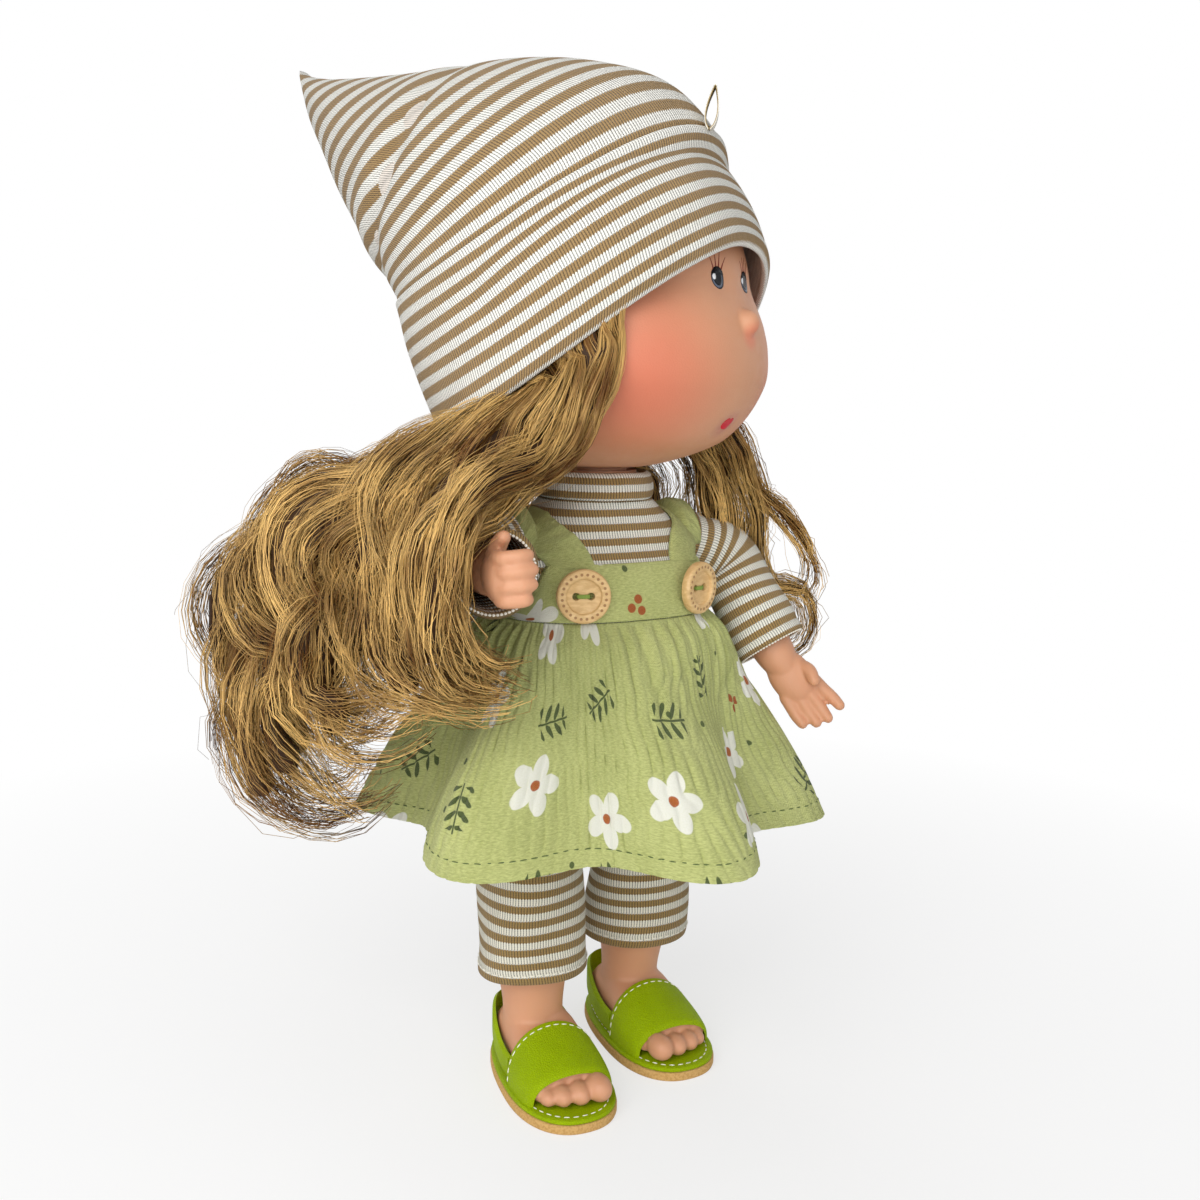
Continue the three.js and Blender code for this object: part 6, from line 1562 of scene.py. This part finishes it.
def strand_nodes(name):
    """Geometry nodes that fill each lock with fine tapering strands, strewn about the lock's own line."""
    group, given = node_group(name, {
        "Strands": "Int", "Inner": "Float", "Outer": "Float", "Frizz": "Float", "Bend": "Float",
        "Shortest": "Float", "Thickness": "Float", "Seed": "Int", "Fibre": "Material"})

    def node(kind, inputs=None, output=0, **settings):
        return wire(group, kind, inputs, **settings).outputs[output]

    def own(low, high, salt):
        seed = calc("ADD", given["Seed"], float(salt))
        luck = node("FunctionNodeRandomValue", {2: low, 3: high, "Seed": seed}, 1, data_type="FLOAT")
        return node("GeometryNodeFieldOnDomain", {0: luck}, data_type="FLOAT", domain="CURVE")

    def keep(shape, label, value, kind="FLOAT"):
        return node("GeometryNodeStoreNamedAttribute", {"Geometry": shape, "Name": label, "Value": value},
                    data_type=kind, domain="POINT")

    line = node("GeometryNodeMeshToCurve", {"Mesh": given["Geometry"]})
    many = node("GeometryNodeDuplicateElements", {"Geometry": line, "Amount": given["Strands"]},
                domain="SPLINE")
    t = node("GeometryNodeSplineParameter", output="Factor")
    room = node("GeometryNodeInputNamedAttribute", {"Name": "lock_radius"}, data_type="FLOAT")
    turn = calc("ADD", own(0.0, 6.2832, 1), times(t, own(-2.4, 2.4, 2)))
    span = calc("SUBTRACT", given["Outer"], given["Inner"])
    share = calc("MULTIPLY_ADD", calc("POWER", own(0.0, 1.0, 3), 0.6), span, given["Inner"])
    reach = times(share, room)
    normal, tangent = node("GeometryNodeInputNormal"), node("GeometryNodeInputTangent")
    across = vector("CROSS_PRODUCT", tangent, normal)
    out = vector("ADD", vector("SCALE", normal, by=times(reach, calc("COSINE", turn))),
                 vector("SCALE", across, by=times(reach, calc("SINE", turn))))
    shift = node("ShaderNodeCombineXYZ", {0: own(0.0, 9.0, 4), 1: own(0.0, 9.0, 5), 2: own(0.0, 9.0, 6)})
    spot = vector("ADD", node("GeometryNodeInputPosition"), shift)
    cloud = node("ShaderNodeTexNoise", {"Vector": spot, "Scale": given["Bend"], "Detail": 1.0}, "Color")
    unruly = calc("MULTIPLY_ADD", calc("POWER", own(0.0, 1.0, 10), 5.0), 3.4, 0.24)
    loose = times(times(given["Frizz"], unruly), calc("MULTIPLY_ADD", t, 1.2, 0.1))
    stray = vector("SCALE", vector("SUBTRACT", cloud, (0.5, 0.5, 0.5)), by=loose)
    moved = node("GeometryNodeSetPosition", {"Geometry": keep(many, "swell", out, "FLOAT_VECTOR"),
                                             "Offset": vector("ADD", out, stray)})
    marked = keep(keep(moved, "strand", own(0.0, 1.0, 7)), "along", t)
    cut = node("GeometryNodeTrimCurve", {"Curve": marked, "Start": 0.0,
                                         "End": own(given["Shortest"], 1.0, 8)}, mode="FACTOR")
    taper = calc("SUBTRACT", 1.0, times(calc("POWER", t, 4.0), 0.75))
    sized = node("GeometryNodeSetCurveRadius", {"Curve": cut, "Radius": times(taper, own(0.7, 1.25, 9))})
    ring = node("GeometryNodeCurvePrimitiveCircle", {"Resolution": 3, "Radius": given["Thickness"]})
    body = node("GeometryNodeCurveToMesh", {"Curve": sized, "Profile Curve": ring, "Fill Caps": True})
    return closing(group, node("GeometryNodeSetShadeSmooth", {0: body}), given["Fibre"])


def fibre(name, dark, light, rough):
    """Fair hair fibre, its tone varying from strand to strand and along each, lit as part of its lock; broad
    patches of painted shade and painted light lie over it, and painted shade darkens it towards the roots.
    """
    made, tree, shader = finish(name, {"Roughness": rough, "Specular IOR Level": 0.25})
    strand, along, lock = (wire(tree, "ShaderNodeAttribute", attribute_name=own).outputs["Fac"]
                           for own in ("strand", "along", "lock_tone"))
    # Painted shade and light: broad cloudy patches darken and lighten the hair, as if between and on its
    # locks.
    shade_and_light_patch = grain(wire(tree, "ShaderNodeTexCoord").outputs["Object"], 60.0)
    tone = calc("ADD", times(strand, 0.3), calc("MULTIPLY_ADD", shade_and_light_patch, 1.5, -0.72))
    # Painted shade: the tone darkens towards each strand's root, under the hat's brim.
    tone = calc("ADD", tone, calc("MULTIPLY_ADD", along, 0.12, times(lock, 0.5)))
    tree.links.new(tint(spread(tone, 0.0, 1.0), colour(*dark), colour(*light)), shader.inputs["Base Color"])
    swell = vector("NORMALIZE", wire(tree, "ShaderNodeAttribute", attribute_name="swell").outputs["Vector"])
    own = wire(tree, "ShaderNodeNewGeometry").outputs["Normal"]
    both = vector("NORMALIZE", vector("MULTIPLY_ADD", swell, (1.1, 1.1, 1.1), own))
    tree.links.new(both, shader.inputs["Normal"])
    return made


hair_fibre = fibre("hair_fibre", (112, 68, 14), (250, 204, 124), 0.38)
# Painted shade: the locks' solid cores are coloured dark, for the shade deep inside the hair.
hair_shade_core = fibre("hair_shade_core", (56, 34, 12), (92, 62, 28), 0.6)
hair_strands = strand_nodes("hair_strands")


def hair_guide(locks):
    """A mesh of the wisps' lines that carries each wisp's radius and tone."""
    guide = lines("locks", [path for path, _, _ in locks])
    sizes = np.concatenate([size for _, size, _ in locks]) / 1000
    tones = np.concatenate([np.full(len(path), own) for path, _, own in locks])
    for label, values in (("lock_radius", sizes), ("lock_tone", tones)):
        kept = guide.data.attributes.new(label, "FLOAT", "POINT")
        kept.data.foreach_set("value", values.astype(np.float32))
    return guide


def settle(piece):
    """Bakes a hair piece's placement into its mesh."""
    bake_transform(piece)


left_names = ["left_a", "left_b", "left_c", "left_curl", "left_loop"]
groups = {"hair_right": [n for n in long_locks if not n.startswith("back") and n not in left_names],
          "hair_back": [n for n in long_locks if n.startswith("back")], "hair_left": left_names}
strand_count, fill_count = {"hair_right": 27, "hair_back": 14, "hair_left": 20}, 10
behind = ("outer_back", "middle_back", "inner_back")
fill_only = (*behind, "mass_fill", "mass_low", "low_fill")
for group, names in groups.items():
    cores, strewn, first = [], [], None
    for k, name in enumerate(names):
        locks, (middle, room) = wisps(name, 100 + k)
        core_share = 0.32 if group == "hair_back" or name in behind else 0.62
        cores.append(rod(middle[1:-6:3], np.maximum(1.3, room[1:-6:3] * core_share)))
        strewn += locks
        count = fill_count if name in fill_only else strand_count[group]
        piece = made_by(f"{group}_{name}", hair_guide(locks), hair_strands, Strands=count, Inner=0.2,
                        Outer=1.15, Frizz=0.005, Bend=75.0, Shortest=0.72, Thickness=0.0001, Seed=31 * k,
                        Fibre=hair_fibre)
        settle(piece)
        first = first or piece
    stray = made_by(f"{group}_stray", hair_guide(strewn[::2]), hair_strands, Strands=9, Inner=0.8, Outer=1.8,
                    Frizz=0.011, Bend=44.0, Shortest=0.5, Thickness=0.00006, Seed=77, Fibre=hair_fibre)
    settle(stray)
    core = melt(f"{group}_core", cores, 0.0016, 2)
    core.data.materials.append(hair_shade_core)
    settle(core)
    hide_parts(group)
